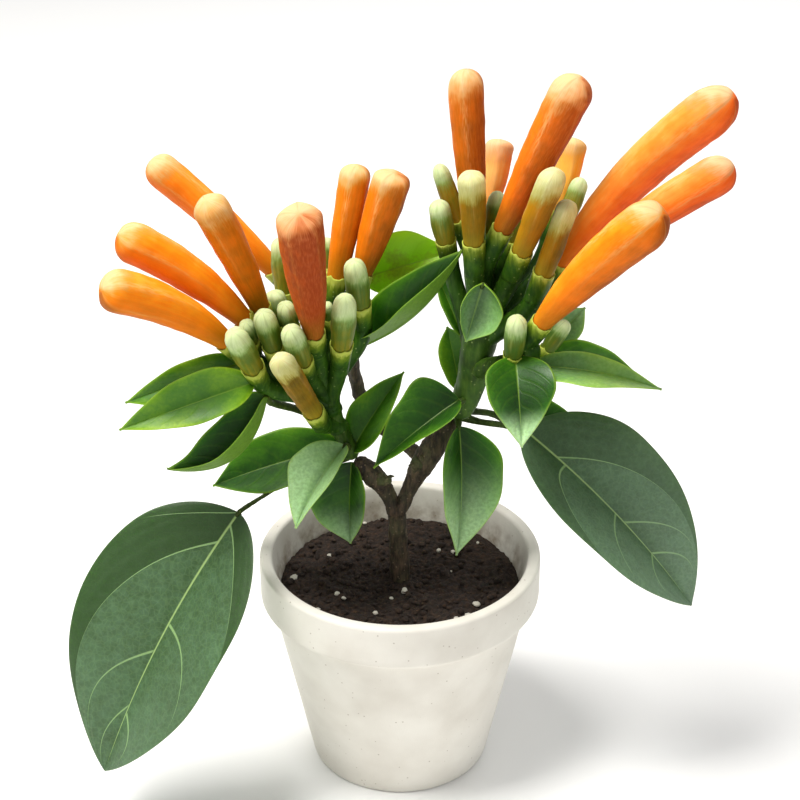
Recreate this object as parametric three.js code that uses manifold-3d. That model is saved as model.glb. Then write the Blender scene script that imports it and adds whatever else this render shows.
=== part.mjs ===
// Potted flame vine: two flower heads, their leaves and the woody stem in a plain pot.
// Millimetres, +Z up, origin at the centre of the pot's flat base, -Y towards the viewer.
import * as THREE from 'three';
import { mergeVertices } from 'three/addons/utils/BufferGeometryUtils.js';
import Module from 'manifold-3d';

const wasm = await Module();
wasm.setup();

// Driving sizes
const GAP = 0.3;
const MERGE_DISTANCE = 0.02;
const SLIVER = 0.04;

const POT = {
  height: 70, baseRadius: 27, bodyTopRadius: 38.6, bodyTop: 55, footBevel: 1.2,
  rimRadius: 42, rimBottom: 57.5, rimRound: 1.2,
  floor: 4.5, innerBaseRadius: 24, innerTopRadius: 38.4, segments: 36,
  drainRadius: 3, drainRing: 14, drainCount: 3, drainSegments: 16,
};

const SOIL = {
  top: 60, holeRadius: 3.5, holeBottom: 30, segments: 26, rings: 5,
  lump: 0.45, ripple: 0.55, twist: 2.2, sweep: 0.35,
};

// Bell-shaped calyx of an open bloom
const CALYX = {
  length: 10, rimRadius: 3.4, bellPlace: 0.45, bellRadius: 3.1, neckRadius: 2.9,
  stalkRadius: 2.7, seatDepth: 3, tooth: 0.5,
};

// Corolla: places along its length, and how far each has widened from foot to full radius
const COROLLA = {
  footRadius: 2.5, seatRadius: 2,
  club: [[0.22, 0.42], [0.5, 0.79], [0.74, 0.95], [0.88, 1], [0.955, 0.82], [0.99, 0.42]],
};

// Closed bud: sizes as shares of its widest radius, and its profile above the calyx
const BUD = {
  calyxBase: 6, rim: 0.92, bellPlace: 0.5, bell: 0.82, stalk: 0.76, stalkTaper: 0.94,
  profile: [[0.1, 0.76], [0.45, 1], [0.78, 0.84], [0.94, 0.48]],
};

// How far a stalk follows the shoot, and the flower's axis, as shares of its reach
const STALK = { leaving: 0.35, arriving: 0.4 };

const SIDES = { shoot: 10, twig: 8, leafStalk: 6, bloom: 12, bud: 8 };
const STEPS = { shoot: 2, arm: 3 };

const BLADE = {
  thickness: 0.7, tipWidth: 0.45, bulge: 0.05, spans: 8, largeSpans: 14, endSpacing: 0.7,
  columns: [-1, -0.5, 0, 0.5, 1],
};

// Colour and roughness
const FINISH = {
  pot: [0xdcd8cf, 0.6],
  soil: [0x3f2f24, 0.95],
  wood: [0x54432f, 0.8],
  shoot: [0x5b8a34, 0.5],
  bloom: [0xef7a1c, 0.45],
  youngBloom: [0xb9932f, 0.45],
  leaf: [0x3f7a28, 0.45],
  largeLeaf: [0x2c5a30, 0.5],
};

// Blooms and buds: foot where the corolla leaves its calyx, tip, widest radius,
// upward bow, and how far up the shoot the stalk starts (0 to 1)
const LEFT_BLOOMS = [
  ['1', [-36.2, 12, 157], [-69.5, 14, 188.5], 4.9, 0.8, 0.85],
  ['2', [-39, -4, 152.5], [-51, -18, 190], 4.9, 0.8, 0.8],
  ['3', [-43.4, -8, 150.8], [-75, -16, 179.2], 5.6, 2, 0.72],
  ['4', [-48.2, -14, 146.9], [-78.2, -30, 169.8], 5.9, 2.6, 0.65],
  ['5', [-23.5, -16, 150.5], [-25.3, -44, 197], 5.9, 0, 0.6],
  ['6', [-17.8, 8, 156.5], [-11.7, 12, 188.3], 4.4, 0, 0.95],
  ['7', [-10.5, 6, 158.5], [-1.4, 6, 188.3], 5.4, 0, 0.85],
  ['8', [-24.5, -12, 124], [-32, -34, 151.5], 3.5, 0, 0.3],
];
const LEFT_YOUNG = ['8'];

const RIGHT_BLOOMS = [
  ['1', [20.5, 6, 173], [17.5, 10, 216.4], 4.9, 0, 0.6],
  ['2', [28, -4, 176], [46, -14, 222.2], 5.6, 0, 0.62],
  ['3', [44.8, -2, 165.5], [83.2, -28, 222], 6.6, 3, 0.5],
  ['4', [50, 10, 158], [91.2, 6, 190.5], 5.7, 1.2, 0.42],
  ['5', [38.5, -20, 155.5], [65.4, -42, 196], 6.4, 1.6, 0.95],
  ['6', [24.5, 20, 170], [28.7, 30, 189], 4.2, 0, 0.55],
  ['7', [44, 14, 173.5], [48.7, 22, 192.5], 4, 0, 0.6],
  ['8', [33, -10, 172], [40.5, -20, 199], 3.7, 0, 0.55],
  ['9', [39.1, -11.3, 166.5], [44.7, -16.9, 189], 3, 0, 0.45],
  ['10', [20, -6, 173], [19, -10, 194.5], 3.7, 0, 0.5],
];
const RIGHT_YOUNG = ['8', '9', '10'];

const LEFT_BUDS = [
  [[-32.5, 4, 153.5], [-33.5, 6, 169], 3.1, 0, 0.9],
  [[-21, 14, 156], [-21, 18, 164], 2.3, 0, 1],
  [[-11, -6, 154.5], [-12.5, -12, 170], 3.4, 0, 0.6],
  [[-16, -14, 146], [-14.5, -24, 165], 3.5, 0, 0.5],
  [[-20, -6, 150], [-20, -8, 155.5], 1.6, 0, 0.9],
  [[-30, -10, 149], [-31.5, -14, 158], 2.8, 0, 0.85],
  [[-35, -14, 145.5], [-37, -20, 158.5], 3.3, 0, 0.7],
  [[-41, -12, 146], [-42, -16, 153.5], 2.4, 0, 0.75],
  [[-27, -16, 142], [-29.5, -25, 156], 3.4, 0, 0.55],
  [[-40.5, -18, 141], [-44.5, -28, 156.5], 3.6, 0, 0.5],
  [[-33, 0, 145.5], [-35.5, 0, 155.5], 3.2, 0, 0.8],
];

const RIGHT_BUDS = [
  [[46, 8, 173], [50.5, 12, 184.5], 2.7, 0, 0.55],
  [[16, 7, 174], [10.4, 8, 190], 2.7, 0, 0.3],
  [[12.6, 2, 170], [10.3, 0, 182.4], 3.2, 0, 0.2],
  [[25, 10, 169], [27.5, 12, 180.5], 2.6, 0, 0.65],
  [[30.5, 4, 169], [33.8, 6, 179.8], 2.6, 0, 0.45],
];

const SIDE_BUDS = [
  [[31, -18, 145], [31.5, -22, 158], 3.1, 0, 0.6],
  [[41, -10, 142.5], [46, -10, 151], 2.5, 0, 0.7],
];

// Woody stem: points and radius at each
const TRUNK = [[0, 0, 30.3, 3], [0, 0, 60, 3], [-0.5, 0, 73, 2.7], [-1, 0, 83.5, 2.8]];
const LEFT_ARM = [[-1, 0, 82, 2.3], [-4, 0, 90.5, 2.3], [-8, -1, 96.5, 3.2], [-13, 0, 101.5, 2.4]];
const RIGHT_ARM = [[-1, 0, 82, 2.3], [3, 0, 92, 2.3], [8, -1, 103, 3.6], [15.5, 0, 115, 2.6]];
const BACK_TWIG = [
  [7, 0, 101, 2], [0, 8, 103.5, 1.8], [-6.5, 12, 106.5, 1.9], [-11.8, 13, 116, 2],
  [-14.5, 8, 133.5, 1.9],
];
const TWIG_STALKS = [
  [[-14.3, 8.5, 132, 1.6], [-14.6, 6, 134.5, 1.2], [-13.8, 4.2, 135.2, 1]],
  [[-14.3, 8.5, 132, 1.6], [-15, 11.5, 140, 1.2], [-13.5, 14, 148, 1.1], [-10.9, 14, 152.6, 1]],
];
const LEFT_STUB = [[-8, -1, 96.5, 2.2], [-5, -2.5, 96, 2], [-2.5, -3.5, 96.5, 1]];
const RIGHT_STUB = [[7.5, -1, 103, 2.4], [5, -2.5, 101.5, 2.2], [3, -3, 101, 1.2]];

// Green shoots, from the woody stem to the top of each head
const LEFT_SHOOT = [
  [-13.5, 0, 102, 2.7], [-18, -2, 114, 2.4], [-20.5, -4, 124.5, 2.8], [-22.5, -4, 135, 2.6],
];
const RIGHT_SHOOT = [
  [16.3, 0, 115.5, 3.6], [20, -1, 126, 4.2], [21.8, -2, 137.5, 4.8], [24, -1, 147, 5],
  [26.5, 0, 157, 3.6],
];
const SIDE_BLOOM = '5';
const SIDE_SHOOT = [
  [21, -3, 132, 3], [28, -11.5, 138, 2.8], [33, -14.5, 140, 2.8], [36, -16.5, 145, 1.8],
];

// Leaf stalks, from the shoot to just short of the blade
const LEFT_STALKS = [
  [
    [-14, 0, 103, 1.5], [-23.5, 2, 97.5, 1], [-33, 0, 93.8, 0.6], [-40.5, -9, 93.6, 0.6],
    [-45.7, -16.6, 93.8, 0.7],
  ],
  [
    [-15, 0, 106, 1.4], [-23, 2, 113.5, 1.1], [-29.5, -2, 119, 1.1], [-36.5, -10, 126, 1.2],
    [-40.2, -14.6, 134, 1],
  ],
  [[-36, -10, 125, 1.1], [-37.5, -13.7, 129, 0.9]],
  [[-36.5, -10, 126, 1.1], [-43.2, -6.3, 136, 0.9]],
  [[-15, 0, 103, 1.4], [-14.1, -1, 104.2, 0.9]],
  [[-15, 0, 105, 1.4], [-15.5, -7.7, 110.2, 0.9]],
  [[-15, 0, 104, 1.4], [-16.8, 3.7, 103.6, 0.9]],
];
const RIGHT_STALKS = [
  [[17, 0, 116, 1.6], [22.5, 0, 114, 1], [29, -2, 114, 0.9], [35.1, -4.8, 114, 0.9]],
  [[17, 1, 117, 1.4], [23, 4, 115, 1], [27.5, 6, 113, 1], [31.2, 7.8, 109.8, 0.9]],
  [[16.8, 0, 116.6, 1.4], [16.8, -3.7, 114.8, 0.9]],
  [[17, 0, 119, 1.4], [17.8, -4.7, 123.3, 0.9]],
  [[17.5, 0, 118, 1.4], [17.5, 5.7, 120.3, 0.9]],
  [[31, -13.5, 139, 1.4], [31.5, -17.7, 143.6, 0.9]],
  [[33, -15, 139.5, 1.4], [35.7, -16, 139.5, 0.9]],
  [[30, -12.5, 138.5, 1.4], [37.7, -8.2, 137.6, 0.9]],
  [[28, -11, 138, 1.4], [36, -3, 138, 1], [41.7, 1.7, 137.5, 0.9]],
  [[25, -2, 152, 1.6], [23.7, -7, 158.5, 1.3], [22.6, -10.6, 162, 0.9]],
  [[20.8, -1, 133, 1.4], [17.9, 2.7, 139.3, 0.9]],
];

// Leaves: base, tip, half widths (right and left seen from the upper face, tip up), turn about
// the midrib from facing the viewer, fold along it, arch, sideways bow, and the widest place
const VIEWER = [0, -0.88, 0.47];
const LEAVES = [
  ['large_left', [-46, -17, 93.5], [-86, -43, 21.5], [29.8, 24.5], 25, 20, 3, 0, 0.43],
  ['large_right', [35.4, -5, 114], [85, -20, 63.8], [18.4, 21.8], -24, 26, 4, 0, 0.41],
  ['right_low', [16.8, -4, 114.6], [16.5, -12, 76], [11, 12.5], -30, 30, 2, 0, 0.36],
  ['middle_right', [17, -5.2, 123.8], [-7.5, -14, 106.5], [11.6, 12.6], 38, 38, 1, 0, 0.19],
  ['middle_left', [-14, -1, 104.5], [1.2, 8, 126], [9.5, 7], -31, 31, 1, 0, 0.4],
  ['left_front', [-15.5, -8, 110.5], [-29.5, -24, 92.5], [10, 9.5], 36, 36, 2, 0, 0.4],
  ['left_low', [-14, 0, 100.5], [-14.5, -8, 77.5], [12, 8], 25, 30, 1, 0, 0.5],
  ['left_behind', [-17, 4, 103.5], [-55.2, 2, 91.2], [9.6, 10.4], 22, 22, 2, 0, 0.5],
  ['fan_low', [-37.4, -14.1, 129.4], [-65, -22, 110.8], [11, 9], 50, 58, -6.5, -5.5, 0.45],
  ['fan_middle', [-40.5, -15, 134.5], [-77, -26, 125.5], [9, 7], 0, 30, 3, 0, 0.4],
  ['fan_top', [-43.5, -6, 136.5], [-77, -12, 126.5], [6, 8], 0, 30, 3, 0, 0.4],
  ['twig_front', [-13.5, 4, 135.5], [17, -4, 169.5], [10, 11], -52, 58, -3.5, 3, 0.5],
  ['twig_back', [-10.5, 14, 153], [15.5, 10, 163], [8, 10.5], 0, 20, 2, 0, 0.5],
  ['bract', [22.6, -11, 162.5], [18.1, -13.5, 146.3], [7, 13], 0, 50, -1.5, 0, 0.4],
  ['right_upper', [17.8, 3, 139.8], [9.8, 9, 158], [5, 2.5], 0, 20, 1, 0, 0.5],
  ['right_inner', [17.6, 6, 121], [13.5, 9, 140], [7, 4.5], 0, 20, 0, 0, 0.64],
  ['side_front', [31.5, -18, 144], [33, -34, 124.5], [10, 11], 0, 25, 3, 0, 0.36],
  ['side_low', [36, -16, 139.8], [71, -26, 138], [8, 8], -31, 32, 3, 0, 0.4],
  ['side_top', [38, -8, 137.5], [67.5, -8, 132.5], [8, 8], 0, 20, 3, 0, 0.4],
  ['right_hidden', [31.5, 8, 109.5], [50, 12, 110.3], [6, 6], 0, 20, 1, 0, 0.5],
  ['side_back', [42, 2, 137.5], [52.5, 6, 147.5], [5, 5], 0, 20, 1, 0, 0.5],
];

// Closed solids from rings of points
const vec = (values) => new THREE.Vector3(values[0], values[1], values[2]);

function geometryFrom(points, triangles) {
  const geometry = new THREE.BufferGeometry();
  const position = new Float32Array(points.flatMap((p) => [p.x, p.y, p.z]));
  geometry.setAttribute('position', new THREE.BufferAttribute(position, 3));
  geometry.setIndex(triangles.flat());
  return geometry;
}

function signedVolume(points, triangles) {
  const cross = new THREE.Vector3();
  return triangles.reduce((sum, [a, b, c]) => {
    cross.crossVectors(points[b], points[c]);
    return sum + points[a].dot(cross);
  }, 0);
}

function closedGeometry(points, triangles) {
  const outward = signedVolume(points, triangles) > 0;
  return geometryFrom(points, outward ? triangles : triangles.map(([a, b, c]) => [a, c, b]));
}

// The first and the last ring hold one point each
function ringGeometry(rings) {
  const points = rings.flat();
  const triangles = [];
  let start = 0;
  for (let k = 0; k + 1 < rings.length; k += 1) {
    const here = rings[k].length;
    const next = rings[k + 1].length;
    const count = Math.max(here, next);
    const above = start + here;
    for (let i = 0; i < count; i += 1) {
      const j = (i + 1) % count;
      const [a, b] = [start + (i % here), start + (j % here)];
      const [c, d] = [above + (j % next), above + (i % next)];
      if (here > 1) triangles.push([a, b, c]);
      if (next > 1) triangles.push([a, c, d]);
    }
    start = above;
  }
  return closedGeometry(points, triangles);
}

function solidFrom(geometry) {
  const bare = geometry.clone();
  bare.deleteAttribute('normal');
  bare.deleteAttribute('uv');
  const merged = mergeVertices(bare, MERGE_DISTANCE);
  return new wasm.Manifold(new wasm.Mesh({
    numProp: 3,
    vertProperties: merged.attributes.position.array,
    triVerts: merged.index.array,
  }));
}

function geometryOf(solid) {
  const { vertProperties, triVerts } = solid.getMesh();
  const geometry = new THREE.BufferGeometry();
  geometry.setAttribute('position', new THREE.BufferAttribute(vertProperties, 3));
  geometry.setIndex(new THREE.BufferAttribute(triVerts, 1));
  return geometry;
}

const joined = (solids) => solids.reduce((whole, solid) => whole.add(solid));
const cutBy = (solid, tools) => tools.reduce((rest, tool) => rest.subtract(tool), solid);

// Drops the scraps and the slivers that a cut or a join leaves
function largestPiece(solid) {
  const pieces = solidFrom(geometryOf(solid)).simplify(SLIVER).decompose();
  return pieces.sort((a, b) => b.volume() - a.volume())[0];
}

// A round section across a direction, with one side turned to the world's Y axis
function ring(centre, direction, radius, sides) {
  const side = new THREE.Vector3(0, 1, 0).addScaledVector(direction, -direction.y).normalize();
  const across = new THREE.Vector3().crossVectors(direction, side);
  return Array.from({ length: sides }, (_, i) => {
    const angle = (2 * Math.PI * i) / sides;
    return centre.clone()
      .addScaledVector(side, radius * Math.cos(angle))
      .addScaledVector(across, radius * Math.sin(angle));
  });
}

// A stem through the points of a row, its radius blended between them
function stemCurve(row) {
  return new THREE.CatmullRomCurve3(row.map(vec), false, 'catmullrom');
}

function stemSolid(row, sides, stepsPerSpan, grow) {
  const curve = stemCurve(row);
  const steps = (row.length - 1) * stepsPerSpan;
  const frames = curve.computeFrenetFrames(steps, false);
  const rings = [];
  for (let k = 0; k <= steps; k += 1) {
    const span = Math.min(Math.floor(k / stepsPerSpan), row.length - 2);
    const share = k / stepsPerSpan - span;
    const radius = THREE.MathUtils.lerp(row[span][3], row[span + 1][3], share) + grow;
    const outward = { 0: -grow, [steps]: grow }[k] ?? 0;
    const centre = curve.getPoint(k / steps).addScaledVector(curve.getTangent(k / steps), outward);
    rings.push(Array.from({ length: sides }, (_, i) => {
      const angle = (2 * Math.PI * i) / sides;
      return centre.clone()
        .addScaledVector(frames.normals[k], radius * Math.cos(angle))
        .addScaledVector(frames.binormals[k], radius * Math.sin(angle));
    }));
  }
  const first = curve.getPoint(0).addScaledVector(curve.getTangent(0), -grow);
  const last = curve.getPoint(1).addScaledVector(curve.getTangent(1), grow);
  return solidFrom(ringGeometry([[first], ...rings, [last]]));
}

// A flower's axis: a bowed corolla, with the calyx straight below its foot
function flowerAxis(foot, tip, bow) {
  const from = vec(foot);
  const to = vec(tip);
  const chord = to.clone().sub(from);
  const length = chord.length();
  chord.normalize();
  const upward = new THREE.Vector3(0, 0, 1).addScaledVector(chord, -chord.z).normalize();
  const control = from.clone().lerp(to, 0.5).addScaledVector(upward, 2 * bow);
  const curve = new THREE.QuadraticBezierCurve3(from, control, to);
  const start = curve.getTangent(0);
  return {
    length,
    start,
    at: (s) => (s < 0 ? from.clone().addScaledVector(start, s) : curve.getPoint(s / length)),
    along: (s) => (s < 0 ? start : curve.getTangent(s / length)),
  };
}

// Corolla: a slender club that widens to its folded, rounded tip
function corollaSolid(foot, tip, radius, bow, grow) {
  const axis = flowerAxis(foot, tip, bow);
  const seat = -CALYX.seatDepth - grow;
  const { footRadius, seatRadius, club } = COROLLA;
  const section = (s, r) => ring(axis.at(s), axis.along(s), r + grow, SIDES.bloom);
  const rings = [[axis.at(seat)], section(seat, seatRadius), section(0, footRadius)];
  for (const [share, swell] of club) {
    rings.push(section(share * axis.length, THREE.MathUtils.lerp(footRadius, radius, swell)));
  }
  rings.push([axis.at(axis.length).addScaledVector(axis.along(axis.length), grow)]);
  return solidFrom(ringGeometry(rings));
}

// Stalk: from the shoot, leaving along it, to the calyx
function stalkRings(shoot, start, axis, calyxLength, radius, sides) {
  const root = shoot.getPoint(start);
  const end = axis.at(-calyxLength);
  const reach = root.distanceTo(end);
  const curve = new THREE.CubicBezierCurve3(
    root,
    root.clone().addScaledVector(shoot.getTangent(start), STALK.leaving * reach),
    end.clone().addScaledVector(axis.start, -STALK.arriving * reach),
    end,
  );
  const section = (t) => ring(curve.getPoint(t), curve.getTangent(t), radius, sides);
  return [[root], section(0), section(0.5)];
}

// Calyx of an open bloom: a bell with small teeth, hollow where the corolla sits
function cupSolid(shoot, [, foot, tip, , bow, start], grow) {
  const axis = flowerAxis(foot, tip, bow);
  const section = (s, r) => ring(axis.at(s), axis.start, r, SIDES.bloom);
  const { length, rimRadius, bellPlace, bellRadius, neckRadius, stalkRadius, seatDepth, tooth } = CALYX;
  const rim = section(grow, rimRadius + grow)
    .map((p, i) => p.addScaledVector(axis.start, i % 2 ? tooth : -tooth / 2));
  const rings = [
    ...stalkRings(shoot, start, axis, length, stalkRadius + grow, SIDES.bloom),
    section(-length, neckRadius + grow),
    section(-bellPlace * length, bellRadius + grow),
    rim,
  ];
  if (grow > 0) return solidFrom(ringGeometry([...rings, [axis.at(grow)]]));
  rings.push(
    section(0, COROLLA.footRadius + GAP),
    section(-seatDepth - GAP, COROLLA.seatRadius + GAP),
    [axis.at(-seatDepth - GAP)],
  );
  return solidFrom(ringGeometry(rings));
}

// Closed bud with its calyx, in one piece
function budSolid(shoot, [foot, tip, radius, bow, start], grow) {
  const axis = flowerAxis(foot, tip, bow);
  const section = (s, r) => ring(axis.at(s), axis.along(s), r + grow, SIDES.bud);
  const neck = Math.min(CALYX.neckRadius, radius * BUD.stalk);
  const calyx = Math.min(CALYX.length, BUD.calyxBase + radius);
  const rings = [
    ...stalkRings(shoot, start, axis, calyx, neck * BUD.stalkTaper + grow, SIDES.bud),
    section(-calyx, neck),
    section(-BUD.bellPlace * calyx, radius * BUD.bell),
    section(0, radius * BUD.rim),
    ...BUD.profile.map(([share, swell]) => section(share * axis.length, radius * swell)),
    [axis.at(axis.length).addScaledVector(axis.along(axis.length), grow)],
  ];
  return solidFrom(ringGeometry(rings));
}

// Leaf blade: ovate, pointed, folded along its midrib and arched
const OUTLINE = { baseRound: 2.3, baseWidth: 0.56, tipFall: 1.8, tipPoint: 1.1 };
const LARGE_OUTLINE = { baseRound: 2.3, baseWidth: 0.52, tipFall: 2, tipPoint: 0.85 };

function halfWidth(u, widest, { baseRound, baseWidth, tipFall, tipPoint }) {
  if (u < widest) return (1 - (1 - u / widest) ** baseRound) ** baseWidth;
  return (1 - ((u - widest) / (1 - widest)) ** tipFall) ** tipPoint;
}

function bladeSolid([name, base, tip, halves, turn, fold, arch, sway, widest]) {
  const isLarge = name.startsWith('large');
  const spans = isLarge ? BLADE.largeSpans : BLADE.spans;
  const outline = isLarge ? LARGE_OUTLINE : OUTLINE;
  const from = vec(base);
  const chord = vec(tip).sub(from);
  const along = chord.clone().normalize();
  const facing = vec(VIEWER).addScaledVector(along, -vec(VIEWER).dot(along)).normalize();
  facing.applyAxisAngle(along, THREE.MathUtils.degToRad(turn));
  const side = new THREE.Vector3().crossVectors(along, facing);
  const tilt = THREE.MathUtils.degToRad(fold);
  const upper = [];
  const lower = [];
  for (let k = 0; k <= spans; k += 1) {
    const even = k / spans;
    const u = THREE.MathUtils.lerp(even, (1 - Math.cos(Math.PI * even)) / 2, BLADE.endSpacing);
    const rise = 4 * u * (1 - u);
    const midrib = from.clone()
      .addScaledVector(chord, u)
      .addScaledVector(facing, arch * rise)
      .addScaledVector(side, sway * rise);
    for (const share of BLADE.columns) {
      const half = halves[share > 0 ? 0 : 1];
      const width = Math.max(half * halfWidth(u, widest, outline), BLADE.tipWidth);
      const reach = width * Math.abs(share);
      const bulge = 4 * BLADE.bulge * reach * (1 - Math.abs(share)) * Math.cos(tilt);
      const point = midrib.clone()
        .addScaledVector(side, Math.sign(share) * reach * Math.cos(tilt))
        .addScaledVector(facing, reach * Math.sin(tilt) + bulge);
      const normal = facing.clone().multiplyScalar(share === 0 ? 1 / Math.cos(tilt) : Math.cos(tilt))
        .addScaledVector(side, -Math.sign(share) * Math.sin(tilt));
      upper.push(point.clone().addScaledVector(normal, BLADE.thickness / 2));
      lower.push(point.clone().addScaledVector(normal, -BLADE.thickness / 2));
    }
  }
  return solidFrom(sheetGeometry(upper, lower, spans, BLADE.columns.length - 1));
}

// Two matching grids of points, joined round their edge
function sheetGeometry(upper, lower, rows, columns) {
  const points = [...upper, ...lower];
  const under = upper.length;
  const wide = columns + 1;
  const triangles = [];
  const at = (row, column) => row * wide + column;
  for (let row = 0; row < rows; row += 1) {
    for (let column = 0; column < columns; column += 1) {
      const [a, b] = [at(row, column), at(row, column + 1)];
      const [c, d] = [at(row + 1, column + 1), at(row + 1, column)];
      triangles.push([a, b, c], [a, c, d]);
      triangles.push([under + a, under + c, under + b], [under + a, under + d, under + c]);
    }
  }
  const edge = (a, b) => triangles.push([a, b, under + b], [a, under + b, under + a]);
  for (let row = 0; row < rows; row += 1) {
    edge(at(row, 0), at(row + 1, 0));
    edge(at(row + 1, columns), at(row, columns));
  }
  for (let column = 0; column < columns; column += 1) {
    edge(at(0, column + 1), at(0, column));
    edge(at(rows, column), at(rows, column + 1));
  }
  return closedGeometry(points, triangles);
}

// Pot: a tapered body with a rim band and a flat base with off-centre drain holes
function innerRadius(z) {
  const share = (z - POT.floor) / (POT.height - POT.floor);
  return THREE.MathUtils.lerp(POT.innerBaseRadius, POT.innerTopRadius, share);
}

// Distance from the axis to the middle of the pot's inner flats, less the gap
const soilRadius = (z) => innerRadius(z) * Math.cos(Math.PI / POT.segments) - GAP;

function potSolid() {
  const { height, rimRadius, rimRound, rimBottom, floor } = POT;
  const profile = [
    [0, 0], [POT.baseRadius - POT.footBevel, 0], [POT.baseRadius, POT.footBevel],
    [POT.bodyTopRadius, POT.bodyTop], [rimRadius - rimRound, rimBottom - 1], [rimRadius, rimBottom],
    [rimRadius, height - rimRound], [rimRadius - rimRound, height],
    [POT.innerTopRadius + rimRound / 2, height], [innerRadius(height - rimRound), height - rimRound],
    [POT.innerBaseRadius, floor], [0, floor],
  ];
  const body = new THREE.LatheGeometry(profile.map(([r, z]) => new THREE.Vector2(r, z)), POT.segments);
  body.rotateX(Math.PI / 2);
  const holes = Array.from({ length: POT.drainCount }, (_, i) => {
    const angle = (2 * Math.PI * i) / POT.drainCount + Math.PI / 6;
    const hole = new THREE.CylinderGeometry(
      POT.drainRadius,
      POT.drainRadius,
      3 * floor,
      POT.drainSegments,
    );
    hole.rotateX(Math.PI / 2);
    hole.translate(POT.drainRing * Math.cos(angle), POT.drainRing * Math.sin(angle), floor / 2);
    return solidFrom(hole);
  });
  return cutBy(solidFrom(body), holes);
}

// Soil: fills the pot to below its rim, with a lumpy top and a plain hole for the stem
function soilHeight(radius, angle) {
  const ripples = Math.sin(radius * SOIL.ripple + SOIL.twist * Math.sin(3 * angle));
  const sweeps = Math.cos(5 * angle - radius * SOIL.sweep);
  return SOIL.top + SOIL.lump * (ripples + sweeps);
}

function soilSolid() {
  const edge = soilRadius(SOIL.top);
  const floor = POT.floor + GAP;
  const circle = (radius, height) => Array.from({ length: SOIL.segments }, (_, i) => {
    const angle = (2 * Math.PI * i) / SOIL.segments;
    const z = height ?? soilHeight(radius, angle);
    const outer = Math.min(radius, soilRadius(z));
    return new THREE.Vector3(outer * Math.cos(angle), outer * Math.sin(angle), z);
  });
  const top = Array.from({ length: SOIL.rings + 1 }, (_, k) => (
    circle(THREE.MathUtils.lerp(SOIL.holeRadius, edge, k / SOIL.rings))));
  return solidFrom(ringGeometry([
    [new THREE.Vector3(0, 0, SOIL.holeBottom)],
    circle(SOIL.holeRadius, SOIL.holeBottom),
    ...top,
    circle(soilRadius(floor), floor),
    [new THREE.Vector3(0, 0, floor)],
  ]));
}

// Woody stem with its two arms, the twig behind them and the bud stubs at their joints
function woodSolid(grow) {
  return joined([
    stemSolid(TRUNK, SIDES.shoot, STEPS.shoot, grow),
    ...[LEFT_ARM, RIGHT_ARM].map((row) => stemSolid(row, SIDES.twig, STEPS.arm, grow)),
    ...[BACK_TWIG, LEFT_STUB, RIGHT_STUB].map((row) => stemSolid(row, SIDES.twig, STEPS.shoot, grow)),
    ...TWIG_STALKS.map((row) => stemSolid(row, SIDES.leafStalk, STEPS.shoot, grow)),
  ]);
}

// One green head: shoot, leaf stalks, flower stalks, calyces and buds
function headSolid(shoots, stalks, blooms, buds, grow) {
  return joined([
    ...shoots.map((row) => stemSolid(row, SIDES.shoot, STEPS.shoot, grow)),
    ...stalks.map((row) => stemSolid(row, SIDES.leafStalk, STEPS.shoot, grow)),
    ...blooms.map(([row, bloom]) => cupSolid(stemCurve(row), bloom, grow)),
    ...buds.map(([row, bud]) => budSolid(stemCurve(row), bud, grow)),
  ]);
}

function leftHead(grow) {
  const blooms = LEFT_BLOOMS.map((bloom) => [LEFT_SHOOT, bloom]);
  const buds = LEFT_BUDS.map((bud) => [LEFT_SHOOT, bud]);
  return headSolid([LEFT_SHOOT], LEFT_STALKS, blooms, buds, grow);
}

function rightHead(grow) {
  const blooms = RIGHT_BLOOMS.map((bloom) => [bloom[0] === SIDE_BLOOM ? SIDE_SHOOT : RIGHT_SHOOT, bloom]);
  const buds = [
    ...RIGHT_BUDS.map((bud) => [RIGHT_SHOOT, bud]),
    ...SIDE_BUDS.map((bud) => [SIDE_SHOOT, bud]),
  ];
  return headSolid([RIGHT_SHOOT, SIDE_SHOOT], RIGHT_STALKS, blooms, buds, grow);
}

// The assembled plant
const plant = new THREE.Group();

function addPiece(name, solid, [color, roughness]) {
  const material = new THREE.MeshStandardMaterial({ color, roughness, metalness: 0 });
  const mesh = new THREE.Mesh(geometryOf(solid), material);
  mesh.name = name;
  plant.add(mesh);
}

addPiece('pot', potSolid(), FINISH.pot);
addPiece('soil', soilSolid(), FINISH.soil);
addPiece('woody_stem', largestPiece(woodSolid(0)), FINISH.wood);

const woodRoom = woodSolid(GAP);
const corollas = [...LEFT_BLOOMS, ...RIGHT_BLOOMS];
const corollaRoom = corollas.map(([, foot, tip, radius, bow]) => corollaSolid(foot, tip, radius, bow, GAP));
for (const [name, head] of [['left_head', leftHead(0)], ['right_head', rightHead(0)]]) {
  addPiece(name, largestPiece(cutBy(head, [woodRoom, ...corollaRoom])), FINISH.shoot);
}

const sprays = [['left', LEFT_BLOOMS, LEFT_YOUNG], ['right', RIGHT_BLOOMS, RIGHT_YOUNG]];
for (const [side, rows, young] of sprays) {
  for (const [number, foot, tip, radius, bow] of rows) {
    const finish = young.includes(number) ? FINISH.youngBloom : FINISH.bloom;
    addPiece(`${side}_bloom_${number}`, corollaSolid(foot, tip, radius, bow, 0), finish);
  }
}

const headRoom = [woodRoom, leftHead(GAP), rightHead(GAP)];
for (const row of LEAVES) {
  const finish = row[0].startsWith('large') ? FINISH.largeLeaf : FINISH.leaf;
  addPiece(`leaf_${row[0]}`, largestPiece(cutBy(bladeSolid(row), headRoom)), finish);
}

export default plant;
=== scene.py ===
import math
from types import SimpleNamespace as Sizes

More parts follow.
